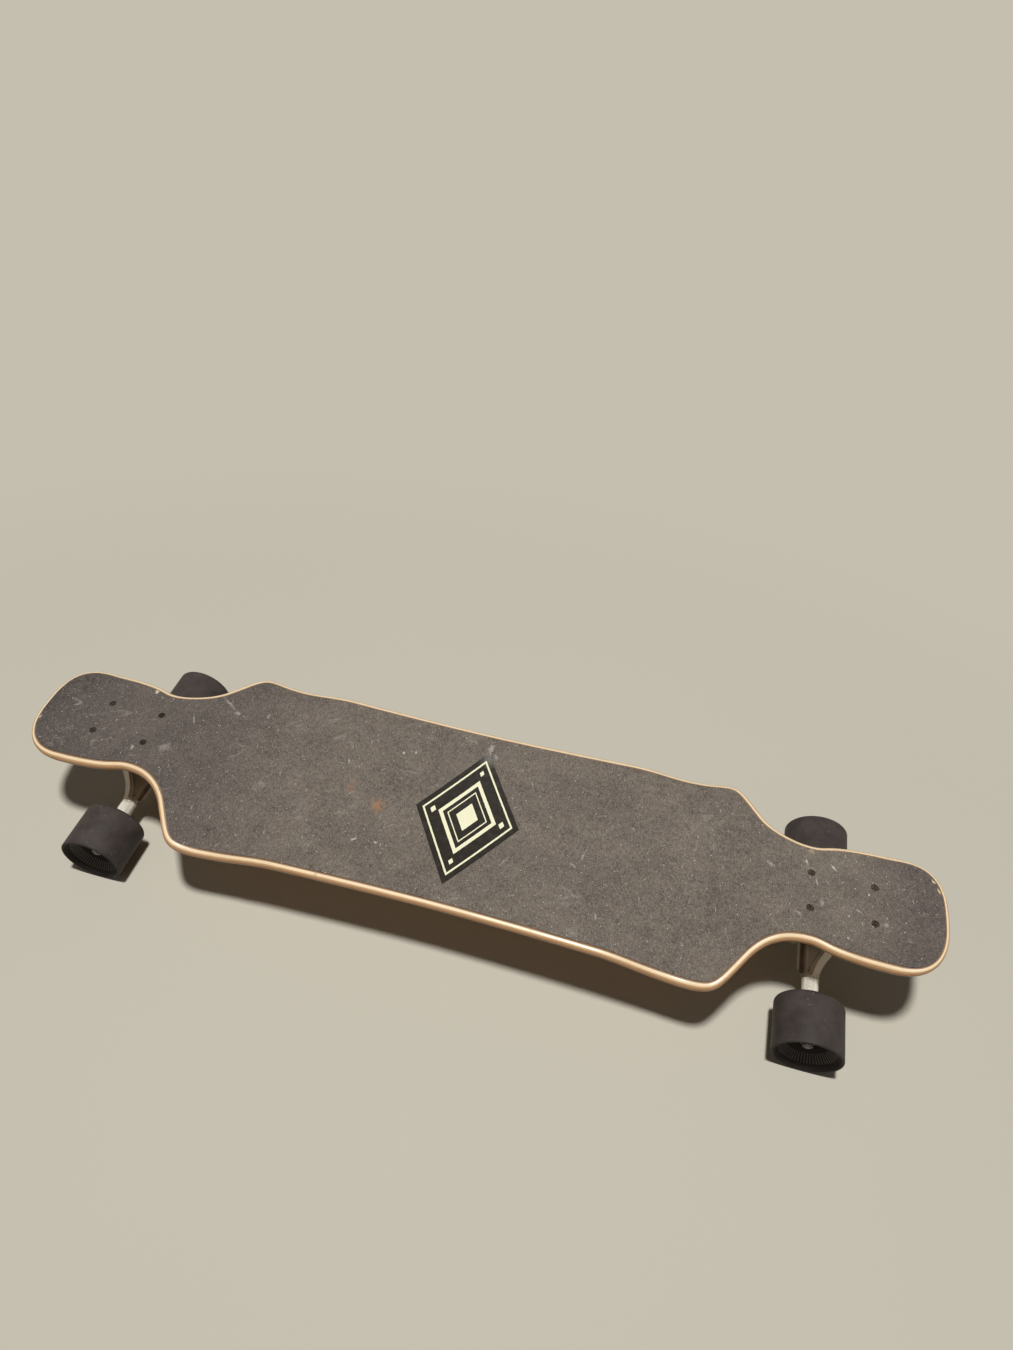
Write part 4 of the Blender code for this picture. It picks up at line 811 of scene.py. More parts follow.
class Finish:
    """A material's Principled shader, and short calls for the nodes that feed it."""

    def __init__(self, name, roughness=0.5, metallic=0.0, coat=0.0, coat_roughness=0.1, specular=0.5):
        self.material = bpy.data.materials.new(name)
        self.material.use_nodes = True
        self.tree = self.material.node_tree
        self.shader = self.tree.nodes["Principled BSDF"]
        sockets = ("Roughness", "Metallic", "Coat Weight", "Coat Roughness", "Specular IOR Level")
        for socket, value in zip(sockets, (roughness, metallic, coat, coat_roughness, specular)):
            self.feed(socket, value)
        self.place = self.add("TexCoord", {}, "Object")

    def add(self, kind, inputs, output=0, **settings):
        return add_node(self.tree, kind, inputs, output, **settings)

    def feed(self, socket, value):
        set_input(self.tree, self.shader, socket, value)

    def attribute(self, name):
        return self.add("Attribute", {}, "Fac", attribute_name=name)

    def stretched(self, lengths, turn=0.0, middle=(0, 0, 0)):
        """Object coordinates from a middle, turned about z and counted in cells of three lengths."""
        turned = (0, 0, math.radians(turn))
        inputs = {"Vector": self.place, "Location": middle, "Rotation": turned, "Scale": lengths}
        return self.add("Mapping", inputs, vector_type="TEXTURE")

    def noise(self, scale, detail=3.0, rough=0.55, vector=None, distortion=0.0):
        inputs = {"Vector": vector or self.place, "Scale": scale, "Detail": detail}
        return self.add("TexNoise", {**inputs, "Roughness": rough, "Distortion": distortion})

    def uneven(self, *layers):
        """1 on average, with noise of each (scale, strength) added to it."""
        total = 1.0 - sum(strength for _, strength in layers) / 2
        for scale, strength in layers:
            total = self.calc("MULTIPLY_ADD", self.noise(scale, 1.0), strength, total)
        return total

    def specks(self, cell, reach, share, turn=0.0):
        """Scattered specks in plan, one in a cell, that reach a part of its length and width from their
        middles. Only a share of them shows, some more strongly than others."""
        inputs = {"Vector": self.stretched((*cell, 1.0), turn), "Scale": 1.0}
        distance = self.add("TexVoronoi", inputs, voronoi_dimensions="2D")
        chance = self.axis(0, distance.node.outputs["Color"])
        near = self.between(distance, reach, SPECK_CORE * reach)
        return self.times(near, self.between(chance, 1 - share, 1.0))

    def grit(self, scale):
        """Distance to the nearest of many points scattered through space."""
        return self.add("TexVoronoi", {"Vector": self.place, "Scale": scale})

    def calc(self, operation, *values):
        return self.add("Math", dict(enumerate(values)), operation=operation)

    def times(self, a, b):
        return self.calc("MULTIPLY", a, b)

    def plus(self, a, b):
        return self.calc("ADD", a, b)

    def between(self, value, low, high, to_low=0.0, to_high=1.0):
        """A value's place between two limits, as a smooth step from one result to another."""
        sockets = ("Value", "From Min", "From Max", "To Min", "To Max")
        inputs = dict(zip(sockets, (value, low, high, to_low, to_high)))
        return self.add("MapRange", inputs, interpolation_type="SMOOTHSTEP")

    def mix(self, share, a, b, blend="MIX"):
        return self.add("Mix", {0: share, 6: a, 7: b}, 2, data_type="RGBA", blend_type=blend)

    def over(self, colour, tint, value, low, high, share=1.0):
        """A colour that gives way to a tint, up to a share, as a value goes from one limit to another."""
        return self.mix(self.between(value, low, high, 0.0, share), colour, tint)

    def axis(self, which, vector=None):
        return self.add("SeparateXYZ", {0: vector or self.place}, which)

    def point(self, x, y):
        return self.add("CombineXYZ", {0: x, 1: y})

    def spot(self, middle, reach, angle, ragged):
        """1 inside an ellipse in plan and 0 outside, with a soft and ragged edge."""
        away = self.stretched((*reach, 1000.0), angle, (*middle, 0))
        distance = self.add("VectorMath", {0: away}, "Value", operation="LENGTH")
        uneven = self.times(self.calc("SUBTRACT", self.noise(350.0), 0.5), ragged)
        return self.between(self.plus(distance, uneven), 1.0, SPOT_CORE)

    def bump(self, height, strength, distance):
        inputs = {"Strength": strength, "Distance": distance, "Height": height}
        self.feed("Normal", self.add("Bump", inputs))


# scratches and specks on the grip: the two lengths of their cells, their reach in shares of a cell, how many
# of the cells show one, their turn, strength and colour
SPECKS = (
    (0.007, 0.060, 0.060, 0.16, 13.0, 0.8, (0.56, 0.51, 0.45)),
    (0.008, 0.075, 0.05, 0.10, -48.0, 0.8, (0.56, 0.51, 0.45)),
    (0.008, 0.06, 0.05, 0.10, 70.0, 0.8, (0.56, 0.51, 0.45)),
    (0.016, 0.016, 0.042, 0.7, 0.0, 1.0, (0.72, 0.68, 0.62)),
    (0.0085, 0.0085, 0.060, 0.65, 0.0, 0.75, (0.72, 0.68, 0.62)),
    (0.0042, 0.0042, 0.085, 0.6, 0.0, 0.6, (0.72, 0.68, 0.62)),
)
# single marks on the grip: x, y and the two half-lengths in millimetres, then turn, strength and colour;
# their places were read off the photo one by one and brought into the board's frame with its camera
MARKS = (
    (-131, 3, 8, 11, 0, 0.6, (0.27, 0.165, 0.1)), (-93, -13, 10, 12, 20, 0.7, (0.36, 0.175, 0.09)),
    (-310, 66.5, 13, 2.6, -28, 0.6, (0.44, 0.37, 0.29)), (-296, 58, 4, 3, 0, 0.6, (0.52, 0.47, 0.39)),
    (-345, -20, 10, 7, 30, 0.55, (0.34, 0.31, 0.27)), (-102, -62, 4, 2, 35, 0.8, (0.6, 0.55, 0.48)),
    (-79, -59, 3, 1.5, -20, 0.8, (0.62, 0.56, 0.48)), (6.5, 94, 4, 10, 0, 0.55, (0.5, 0.48, 0.44)),
    (16, 85, 6, 4.5, -50, 0.5, (0.42, 0.39, 0.35)), (-394.6, 51.5, 3, 4.5, 0, 0.95, (0.66, 0.56, 0.42)),
    (370, 47, 5, 4, 0, 0.6, (0.42, 0.33, 0.23)), (490.5, 40, 3.6, 1.4, -55, 0.95, (0.66, 0.53, 0.3)),
    (494.5, 29.5, 4.4, 1.3, -72, 0.95, (0.64, 0.51, 0.28)), (-496, -26, 5, 1.2, 72, 0.8, (0.6, 0.54, 0.44)),
    (445, -19.1, 3, 3.5, 0, 0.8, (0.4, 0.36, 0.27)), (-379, -30, 2.5, 5, 0, 0.7, (0.45, 0.42, 0.38)),
    (330, 22, 8, 3, -40, 0.6, (0.4, 0.37, 0.33)), (365.8, 32.2, 1.8, 4, 10, 0.8, (0.62, 0.58, 0.52)),
    (393.2, 32.8, 1.4, 5, 42, 0.8, (0.66, 0.61, 0.54)), (376.6, 11.1, 1.2, 7, 14, 0.7, (0.46, 0.42, 0.37)),
    (382.2, -10.7, 3, 5, 0, 0.6, (0.42, 0.38, 0.34)), (387, 14, 1.1, 10, 34, 0.6, (0.36, 0.32, 0.28)),
    (428.3, 10.7, 1.4, 1.6, 0, 0.9, (0.66, 0.61, 0.54)),
    (417.1, -10.3, 5, 1.3, -28, 0.8, (0.52, 0.47, 0.42)),
    (408.7, -19, 1.6, 1.8, 0, 0.8, (0.56, 0.51, 0.46)), (407.9, -43.5, 1.5, 1.7, 0, 0.8, (0.6, 0.56, 0.5)),
    (359.5, -29.2, 6, 2.2, -20, 0.6, (0.42, 0.38, 0.34)),
    (-333.7, 26.7, 1.2, 8, 24, 0.7, (0.4, 0.36, 0.32)), (-263.7, 69.9, 1.4, 6, 4, 0.8, (0.44, 0.4, 0.36)),
    (-228.4, -21.3, 6, 4, 40, 0.6, (0.3, 0.27, 0.24)), (-73.5, 40, 19, 1.5, 4, 0.5, (0.3, 0.27, 0.24)),
    (-89.5, 62.6, 1.6, 1.8, 0, 0.9, (0.66, 0.61, 0.54)), (-76.2, 66.5, 1.4, 2, 0, 0.8, (0.62, 0.57, 0.5)),
    (-146.1, 33.8, 1.5, 4, 20, 0.8, (0.56, 0.51, 0.45)), (59, -43.7, 1.2, 12, -24, 0.6, (0.38, 0.34, 0.3)),
    (131.1, -26.6, 7, 1.8, -36, 0.7, (0.44, 0.4, 0.36)), (138.9, -12, 1.4, 8, -12, 0.7, (0.44, 0.4, 0.36)),
    (165.1, -78.8, 1.4, 7, 14, 0.7, (0.44, 0.4, 0.36)),
)


def grip_finish():
    """Worn mineral grit: dusty grey, darker towards the rear and at the front tip, mottled and streaked all
    over, with fine specks, scratches, wispy scuffs and a few stains."""
    f = Finish("grip_grit", roughness=0.92, specular=0.35)
    along_board = f.axis(0)
    colour = f.over((0.160, 0.133, 0.108), (0.116, 0.096, 0.082), along_board, -0.16, -0.34)
    colour = f.over(colour, (0.093, 0.076, 0.067), along_board, -0.40, -0.48)
    colour = f.over(colour, (0.116, 0.094, 0.082), along_board, 0.40, 0.49)
    streak = f.noise(1.0, 2.0, 0.6, f.stretched((0.0011, 0.0055, 1.0), 13.0))
    mottle = f.uneven((950.0, 1.7), (430.0, 0.85), (180.0, 0.42), (70.0, 0.36), (27.0, 0.42), (9.0, 0.2))
    mottle = f.times(mottle, f.calc("MULTIPLY_ADD", streak, 1.1, 0.45))
    colour = f.mix(1.0, colour, f.calc("MAXIMUM", mottle, 0.3), "MULTIPLY")
    wisp = f.noise(1.0, 6.0, 0.75, f.stretched((0.030, 0.017, 1.0), 20.0), 1.6)
    place = f.between(f.noise(13.0, 2.0), 0.46, 0.62)
    colour = f.mix(f.times(f.between(wisp, 0.54, 0.72, 0.0, 0.55), place), colour, (0.40, 0.36, 0.31))
    for *cell, reach, share, turn, strength, tint in SPECKS:
        colour = f.mix(f.times(f.specks(cell, reach, share, turn), strength), colour, tint)
    for x, y, along, across, angle, strength, tint in MARKS:
        spot = f.spot((x / 1000, y / 1000), (along / 1000, across / 1000), angle, 2.2)
        colour = f.mix(f.times(spot, strength), colour, tint)
    f.feed("Base Color", colour)
    f.bump(f.between(f.grit(1500.0), 0.0, 0.6), 0.45, 0.00025)
    return f.material


def maple_finish():
    """Lacquered maple: straight grain along the board underneath, and seven plies at the edge. The edge
    carries a painted highlight along its top and painted shade over its lower part.
    """
    f = Finish("maple_plies", roughness=0.42, coat=0.3, coat_roughness=0.2, specular=0.4)
    depth, distance = f.attribute("depth"), f.attribute("distance")
    grain = f.noise(1.0, 5.0, 0.62, f.stretched((0.14, 0.0077, 0.0077)), 0.6)
    figure = f.noise(1.0, 3.0, 0.55, f.stretched((0.45, 0.038, 0.05)), 1.2)
    pores = f.noise(1.0, 2.0, 0.5, f.stretched((0.017, 0.0007, 0.0007)))
    face = f.over((0.50, 0.275, 0.125), (0.66, 0.42, 0.215), grain, 0.30, 0.72)
    face = f.over(face, (0.40, 0.20, 0.085), figure, 0.40, 0.68, 0.45)
    face = f.over(face, (0.25, 0.12, 0.05), pores, 0.62, 0.75, 0.55)
    layer = f.times(depth, float(PLIES))
    number = f.calc("FLOOR", layer)
    within = f.calc("SUBTRACT", layer, number)
    rim = f.noise(1.0, 4.0, 0.6, f.point(f.times(distance, 42.0), f.times(number, 7.3)))
    fibre = f.noise(1.0, 3.0, 0.6, f.point(f.times(distance, 260.0), f.times(layer, 2.6)))
    glue = f.calc("ABSOLUTE", f.calc("SUBTRACT", within, 0.5))
    edge = f.mix(f.calc("PINGPONG", number, 1.0), (0.76, 0.500, 0.270), (0.57, 0.335, 0.160))
    edge = f.over(edge, (0.45, 0.240, 0.100), rim, 0.42, 0.72, 0.6)
    edge = f.over(edge, (0.84, 0.61, 0.36), fibre, 0.50, 0.75, 0.4)
    # painted highlight along the top of the rounded edge
    edge = f.over(edge, (0.93, 0.74, 0.48), depth, 0.20, 0.05, 0.75)
    # painted shade over the lower part of the edge
    edge = f.over(edge, (0.27, 0.112, 0.036), depth, 0.08, 0.46, 0.8)
    edge = f.over(edge, (0.24, 0.115, 0.045), glue, 0.40, 0.47, 0.7)
    # a darker line along the very top of the edge, beside the grip
    edge = f.over(edge, (0.22, 0.12, 0.060), depth, 0.020, 0.004, 0.8)
    edge = f.over(edge, (0.34, 0.18, 0.08), f.noise(60.0, 3.0), 0.64, 0.74, 0.35)
    f.feed("Base Color", f.mix(f.between(depth, 0.985, 1.0), edge, face))
    f.feed("Roughness", f.between(f.noise(30.0, 4.0, 0.6), 0.35, 0.70, 0.30, 0.52))
    f.bump(f.plus(grain, f.times(within, 0.15)), 0.08, 0.0002)
    return f.material


def print_ground_finish():
    """The label's black print, dusted and rubbed paler at its far corner."""
    f = Finish("label_black", roughness=0.48, specular=0.3)
    dust = f.noise(160.0, 4.0, 0.65)
    colour = f.over((0.0135, 0.0095, 0.0062), (0.24, 0.21, 0.18), dust, 0.52, 0.80, 0.10)
    rubbed = f.times(f.spot((0.010, 0.083), (0.016, 0.017), 0.0, 0.9), 0.45)
    f.feed("Base Color", f.mix(rubbed, colour, (0.33, 0.31, 0.28)))
    f.feed("Roughness", f.between(dust, 0.4, 0.7, 0.36, 0.62))
    f.bump(f.noise(700.0, 2.0), 0.12, 0.0001)
    return f.material


def print_ink_finish():
    """Cream print with thin places."""
    f = Finish("label_cream", roughness=0.5)
    worn = f.noise(420.0, 4.0, 0.7)
    f.feed("Base Color", f.over((0.88, 0.84, 0.58), (0.50, 0.44, 0.33), worn, 0.60, 0.78, 0.4))
    return f.material


def urethane_finish():
    """Charcoal cast urethane: a satin skin with road dust, faint rolling lines and small nicks."""
    f = Finish("wheel_urethane", roughness=0.55, specular=0.15)
    dust = f.noise(46.0, 5.0, 0.62)
    tread = f.over((0.044, 0.0350, 0.0325), (0.070, 0.0575, 0.0520), dust, 0.32, 0.72)
    clean = f.over((0.0092, 0.0062, 0.0053), (0.0175, 0.0125, 0.0106), dust, 0.40, 0.70)
    colour = f.mix(f.attribute("worn"), clean, tread)
    rolling = f.noise(1.0, 3.0, 0.6, f.stretched((0.11, 0.0011, 0.11)))
    colour = f.over(colour, (0.11, 0.095, 0.085), rolling, 0.55, 0.80, 0.22)
    nicks = f.between(f.grit(150.0), 0.16, 0.06, 0.0, 0.6)
    chance = f.between(f.noise(90.0, 1.0), 0.52, 0.60)
    colour = f.mix(f.times(nicks, chance), colour, (0.19, 0.17, 0.155))
    across, up = f.attribute("across"), f.attribute("up")
    reach = f.calc("SQRT", f.plus(f.times(across, across), f.times(up, up)))
    turn = f.times(f.calc("ARCTAN2", up, across), float(RIB_COUNT))
    inner_edge = f.between(reach, RIB_INNER, RIB_INNER + RIB_FADE)
    outer_edge = f.between(reach, RIB_OUTER, RIB_OUTER - RIB_FADE)
    ring = f.times(f.times(inner_edge, outer_edge), f.attribute("outside"))
    rib = f.times(f.between(f.calc("SINE", turn), -0.1, 0.5), ring)
    colour = f.mix(f.times(rib, 0.85), colour, (0.140, 0.115, 0.105))
    f.feed("Base Color", colour)
    f.feed("Roughness", f.between(dust, 0.3, 0.7, 0.48, 0.68))
    relief = f.plus(f.plus(f.noise(380.0, 4.0, 0.7), rolling), f.times(rib, 2.0))
    f.bump(relief, 0.10, 0.0002)
    return f.material


def rubber_finish(name, colour):
    """A cast or moulded polymer of one colour, with faint mottling and a soft sheen."""
    f = Finish(name, roughness=0.5, specular=0.4)
    mottle = f.noise(120.0, 4.0, 0.6)
    darker, paler = tuple(0.75 * c for c in colour), tuple(1.35 * c + 0.004 for c in colour)
    f.feed("Base Color", f.over(darker, paler, mottle, 0.30, 0.70))
    f.feed("Roughness", f.between(mottle, 0.3, 0.7, 0.42, 0.62))
    f.bump(f.noise(600.0, 3.0), 0.08, 0.0002)
    return f.material


def metal_finish(
    name, colour, roughness, mottle, dirt, metallic=1.0, bumps=0.05, grain=900.0, lines=None, hollow=False
):
    """Bare metal: its tone and polish vary, with fine tooling or casting grain, and dirt in blotches. If
    asked for, painted shade darkens its recesses."""
    f = Finish(name, roughness=roughness, metallic=metallic)
    cloud = f.noise(70.0, 4.0, 0.6)
    darker = tuple((1 - mottle) * c for c in colour)
    paler = tuple(min((1 + mottle) * c, 0.95) for c in colour)
    tone = f.over(darker, paler, cloud, 0.30, 0.70)
    grime = f.between(f.noise(38.0, 5.0, 0.65), 0.52, 0.74, 0.0, dirt)
    tone = f.mix(grime, tone, (0.10, 0.085, 0.07))
    if hollow:
        # painted shade in the recesses, as marked on the mesh
        tone = f.mix(f.times(f.attribute("hollow"), 0.9), tone, (0.060, 0.045, 0.030))
    f.feed("Base Color", tone)
    uneven = f.plus(f.between(cloud, 0.3, 0.7, roughness - 0.06, roughness + 0.06), grime)
    f.feed("Roughness", f.calc("MINIMUM", uneven, 1.0))
    relief = f.noise(1.0, 3.0, 0.6, f.stretched(lines)) if lines else f.noise(grain, 3.0, 0.6)
    f.bump(relief, bumps, 0.0003)
    return f.material


def make_tyre(wheel, finish):
    """The tyre's closed profile turned about the axle: a dished recess outside, a wide tread with unlike
    shoulders, and a shallower dish inside. "across" and "up" give a point's place in the wheel's plane."""
    core_inner, core_outer = wheel_span(wheel, "core")
    bore = wheel_reach(wheel, "core") + FIT
    profile = [
        (bore, core_outer),
        (bore + HUB_STEP, core_outer + HUB_RISE),
        (RECESS_REACH, WHEEL_OUTER_Y - RECESS_DEPTH),
        (WHEEL_RADIUS - TYRE_LIP, WHEEL_OUTER_Y),
        (WHEEL_RADIUS, WHEEL_OUTER_Y),
        (WHEEL_RADIUS, WHEEL_INNER_Y),
        (WHEEL_RADIUS - INNER_DISH, WHEEL_INNER_Y),
        (bore, core_inner),
    ]
    outline = ring_of(profile, TYRE_ROUNDING, 8)
    sheet = turned(outline, wheel_place(wheel), TYRE_STEPS, closed=True)
    radius, angle = outline[:, :1], turn_angles(TYRE_STEPS)
    worn = smooth_step((radius - WHEEL_RADIUS + TYRE_LIP) / TYRE_LIP)
    outside = 1.0 * (outline[:, 1:] > (WHEEL_INNER_Y + WHEEL_OUTER_Y) / 2)
    across, up = radius * np.cos(angle), radius * np.sin(angle)
    sheet["values"].update(worn=worn, outside=outside, across=across, up=up)
    piece(f"{wheel}_wheel", f"{wheel}_wheel", [finish], [sheet], [f"{wheel}_tyre"])


def wheel_span(wheel, part):
    """Where a part of a wheel starts and ends along its axle, outwards."""
    node = f"{wheel}_{part}"
    return sorted(abs(value) for value in (lowest(node)[1], highest(node)[1]))


def wheel_reach(wheel, part):
    """A part's radius about the axle."""
    return highest(f"{wheel}_{part}")[2] - WHEEL_RADIUS


def make_core(wheel, finish):
    """The nylon hub that seats the bearings: a tube with a shoulder between them and a rounded rim."""
    start, end = wheel_span(wheel, "core")
    inner_end = wheel_span(wheel, "inner_bearing")[1] + FIT
    outer_start = wheel_span(wheel, "outer_bearing")[0] - FIT
    web, seat = BEARING_RADIUS - CORE_SHOULDER, BEARING_RADIUS + FIT
    profile = band(seat, wheel_reach(wheel, "core"), start, end)
    profile += [(seat, inner_end), (web, inner_end), (web, outer_start), (seat, outer_start)]
    sheet = turned_ring(profile, wheel_place(wheel), CORE_EDGE, 3)
    piece(f"{wheel}_hub", f"{wheel}_wheel", [finish], [sheet], [f"{wheel}_core"])


def make_bearing(wheel, which, steel, shield):
    """A shielded ball bearing: outer and inner races with chamfered edges, and a pressed shield each side."""
    node, place = f"{wheel}_{which}_bearing", wheel_place(wheel)
    start, end = wheel_span(wheel, f"{which}_bearing")
    inner, outer = BEARING_BORE_RADIUS + RACE_WALL, BEARING_RADIUS - RACE_WALL
    races = (BEARING_BORE_RADIUS, inner), (outer, BEARING_RADIUS)
    sheets = [turned_ring(band(*race, start, end), place, RACE_EDGE, 3) for race in races]
    foot, middle = inner + SHIELD_GAP, (inner + outer) / 2
    for face, depth in ((end, -SHIELD_DEPTH), (start, SHIELD_DEPTH)):
        low, high = face + depth, face + 2 * depth
        swell = low - depth * SHIELD_SWELL
        profile = [(foot, low), (middle - SHIELD_STEP, low), (middle, swell), (outer, swell)]
        sheet = turned_ring([*profile, (outer, high), (foot, high)], place, SHIELD_GAP, 2)
        sheet["values"]["finish"] = 1
        sheets.append(sheet)
    piece(f"{node}_unit", f"{wheel}_wheel", [steel, shield], sheets, [node])


def make_axle_end(wheel, finish, insert, washer):
    """The lock nut on an axle's end and the thin washer between it and the bearing."""
    place, body = wheel_place(wheel), f"{wheel.split('_')[0]}_truck"
    start, end = wheel_span(wheel, "axle_nut")
    nut = hex_nut(place.at((0, 0, start)), AXLE_NUT_FLATS, end - start, AXLE_RADIUS + FIT / 2)
    piece(f"{wheel}_lock_nut", body, [finish, insert], [nut], [f"{wheel}_axle_nut"], 30.0)
    low, high = start - SPEED_WASHER_BACK, start - SPEED_WASHER_GAP
    profile = band(BEARING_BORE_RADIUS, SPEED_WASHER_RADIUS, low, high)
    piece(f"{wheel}_speed_washer", body, [washer], [turned(profile, place, closed=True)])


def make_axle(truck, finish):
    """The axle: a plain rod with a cut thread at each end, in one skin."""
    reach = highest(f"{truck}_axle")[1]
    radii, heights = thread_rows(AXLE_RADIUS, reach - AXLE_THREAD, reach, AXLE_PITCH, SMALL_STEPS)
    blocks = [([0], [-reach]), (radii[::-1], -heights[::-1]), (radii, heights), ([0], [reach])]
    sheet = spun(wheel_place(f"{truck}_left"), *blocks, steps=SMALL_STEPS)
    piece(f"{truck}_axle_rod", f"{truck}_truck", [finish], [sheet], [f"{truck}_axle"])


def make_bolt(bolt, black, plated, insert):
    """A countersunk bolt with a cross-shaped drive, in one skin, and its lock nut under the plate.

    The head's face dips where a point lies within half the drive's width of one of two crossed lines."""
    node, nut_node = f"{bolt}_bolt", f"{bolt}_nut"
    low, high = lowest(node), highest(node)
    middle, length = (low + high) / 2, high[2] - low[2]
    nut_low, nut_high = lowest(nut_node)[2], highest(nut_node)[2]
    place, foot = (Place((*middle[:2], z), (1, 0, 0), (0, -1, 0)) for z in (high[2], nut_high))
    steps, edge = 2 * SMALL_STEPS, BOLT_HEAD_EDGE
    angle = turn_angles(steps)
    radius = np.linspace(0.0, BOLT_HEAD_RADIUS - edge, 30)[:, None]
    x, y = np.abs(radius * np.cos(angle)), np.abs(radius * np.sin(angle))
    inside = smooth_step((BOLT_DRIVE_WIDTH / 2 + edge - np.minimum(x, y)) / edge)
    inside = inside * smooth_step((BOLT_DRIVE_REACH + edge - np.maximum(x, y)) / edge)
    cone = ([BOLT_HEAD_RADIUS, BOLT_RADIUS], [edge, BOLT_HEAD_HEIGHT])
    thread = thread_rows(BOLT_RADIUS, length - BOLT_THREAD, length, BOLT_PITCH, steps)
    sheet = spun(place, (radius, BOLT_DRIVE_DEPTH * inside), cone, thread, ([0], [length]), steps=steps)
    piece(f"{node}_cross", "board", [black], [sheet], [node], 35.0)
    nut = hex_nut(foot, BOLT_NUT_FLATS, nut_high - nut_low, BOLT_RADIUS + FIT / 2)
    piece(f"{nut_node}_lock", "board", [plated, insert], [nut], [nut_node], 30.0)


def make_bushing(truck, side, finish):
    """A cast bushing, a little drawn in at its waist. It sits between the board's washer and the hanger's
    ring."""
    place, node = ring_place(truck, side == "road"), f"{truck}_bushing_{side}"
    bore, outer, bevel = KINGPIN_RADIUS + FIT, BUSHING_RADIUS, BUSHING_BEVEL
    radii = (bore, outer - bevel, outer, outer, outer - bevel, bore)
    heights = (BUSHING_END, BUSHING_END, BUSHING_END - bevel)
    heights += (BUSHING_START + bevel, BUSHING_START, BUSHING_START)
    profile = rounded(np.stack([radii, heights], axis=1), BUSHING_EDGE)
    rows = [np.linspace(a, b, 6, endpoint=False) for a, b in zip(profile, np.roll(profile, -1, axis=0))]
    profile = np.concatenate(rows)
    share = (profile[:, 1] - BUSHING_START) / BUSHING_HEIGHT
    outside = profile[:, 0] > (KINGPIN_RADIUS + BUSHING_RADIUS) / 2
    profile[:, 0] -= np.where(outside, BUSHING_WAIST * np.sin(math.pi * np.clip(share, 0, 1)), 0)
    mesh = surface(f"{node}_urethane", [turned(profile, place, closed=True)])
    obj = bpy.data.objects.new(f"{node}_urethane", mesh)
    show(obj, [finish])
    start, end = place.points((0, 0, BUSHING_END)), place.points((0, 0, BUSHING_START))
    tuple(start)
    tuple(end)
    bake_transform(obj)
    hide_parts(node)


def make_kingpin_set(truck, plated, insert):
    """The kingpin's hexagon head, shank and threaded end in one skin, its two cupped washers and its lock
    nut."""
    board, road = ring_place(truck), ring_place(truck, True)
    steps = 2 * ROUND_STEPS
    seat, end = SEAT_Z + KINGPIN_GRIP + FIT, SEAT_Z + KINGPIN_NUT_HEIGHT + KINGPIN_END_SPARE
    top, face = seat + KINGPIN_HEAD_HEIGHT, KINGPIN_HEAD_FLATS / 2 * NUT_COLLAR_FOOT
    radii, heights = thread_rows(KINGPIN_RADIUS, end - KINGPIN_THREAD, end, KINGPIN_PITCH, steps)
    shank = ([KINGPIN_RADIUS, KINGPIN_RADIUS], [SEAT_Z, seat])
    head = hexagon_rows(KINGPIN_HEAD_FLATS, seat, top, face, steps)
    blocks = [([0], [-end]), (radii[::-1], -heights[::-1]), shank, head, ([0], [top])]
    node, sheet = f"{truck}_kingpin", spun(board, *blocks, steps=steps)
    piece(f"{node}_bolt", "board", [plated], [sheet], [node], 30.0)
    hole, rim, outer = KINGPIN_RADIUS + FIT, BUSHING_RADIUS + FIT, CUP_WASHER_RADIUS
    lip, bevel = WASHER_END - CUP_WASHER_LIP, CUP_WASHER_BEVEL
    profile = [(hole, WASHER_END), (outer - bevel, WASHER_END), (outer, WASHER_END - bevel)]
    profile += [(outer, lip), (rim, lip), (rim, WASHER_START), (hole, WASHER_START)]
    for side, place in (("board", board), ("road", road)):
        washer = turned_ring(profile, place, CUP_WASHER_ROUNDING, 4)
        node = f"{truck}_cup_washer_{side}"
        piece(f"{node}_pressed", "board", [plated], [washer], [node])
    nut = hex_nut(road.at((0, 0, SEAT_Z)), KINGPIN_NUT_FLATS, KINGPIN_NUT_HEIGHT, KINGPIN_RADIUS + FIT / 2)
    node = f"{truck}_kingpin_nut"
    piece(f"{node}_lock", "board", [plated, insert], [nut], [node], 30.0)


def make_pivot_cup(truck, finish):
    """A soft cup with a rounded lip that the hanger's nose turns in."""
    inside, floor, back = NOSE_RADIUS + FIT, NOSE_END + FIT, NOSE_END + FIT + CUP_FLOOR
    profile = [(0, back), (CUP_RADIUS, back), (CUP_RADIUS, CUP_MOUTH), (inside, CUP_MOUTH)]
    profile += [(inside, floor - NOSE_TIP), (inside - NOSE_TIP, floor), (0, floor)]
    sheet = turned(rounded(profile, CUP_ROUNDING), pivot_place(truck).against_x())
    node = f"{truck}_pivot_cup"
    piece(f"{node}_seat", "board", [finish], [sheet], [node])


def prism(outline, low, high, place=LOCAL, growth=0.0):
    """A closed outline of (x, y) points drawn along the place's z, larger or smaller at its far end."""
    outline = np.array(outline, float)
    middle = outline.mean(axis=0)
    reach = np.linalg.norm(outline - middle, axis=1).mean()
    grown = middle + (outline - middle) * (1 + growth / reach)
    ends = (outline, low), (grown, high)
    return capped([place.points(np.insert(plan, 2, z, axis=1)) for plan, z in ends])


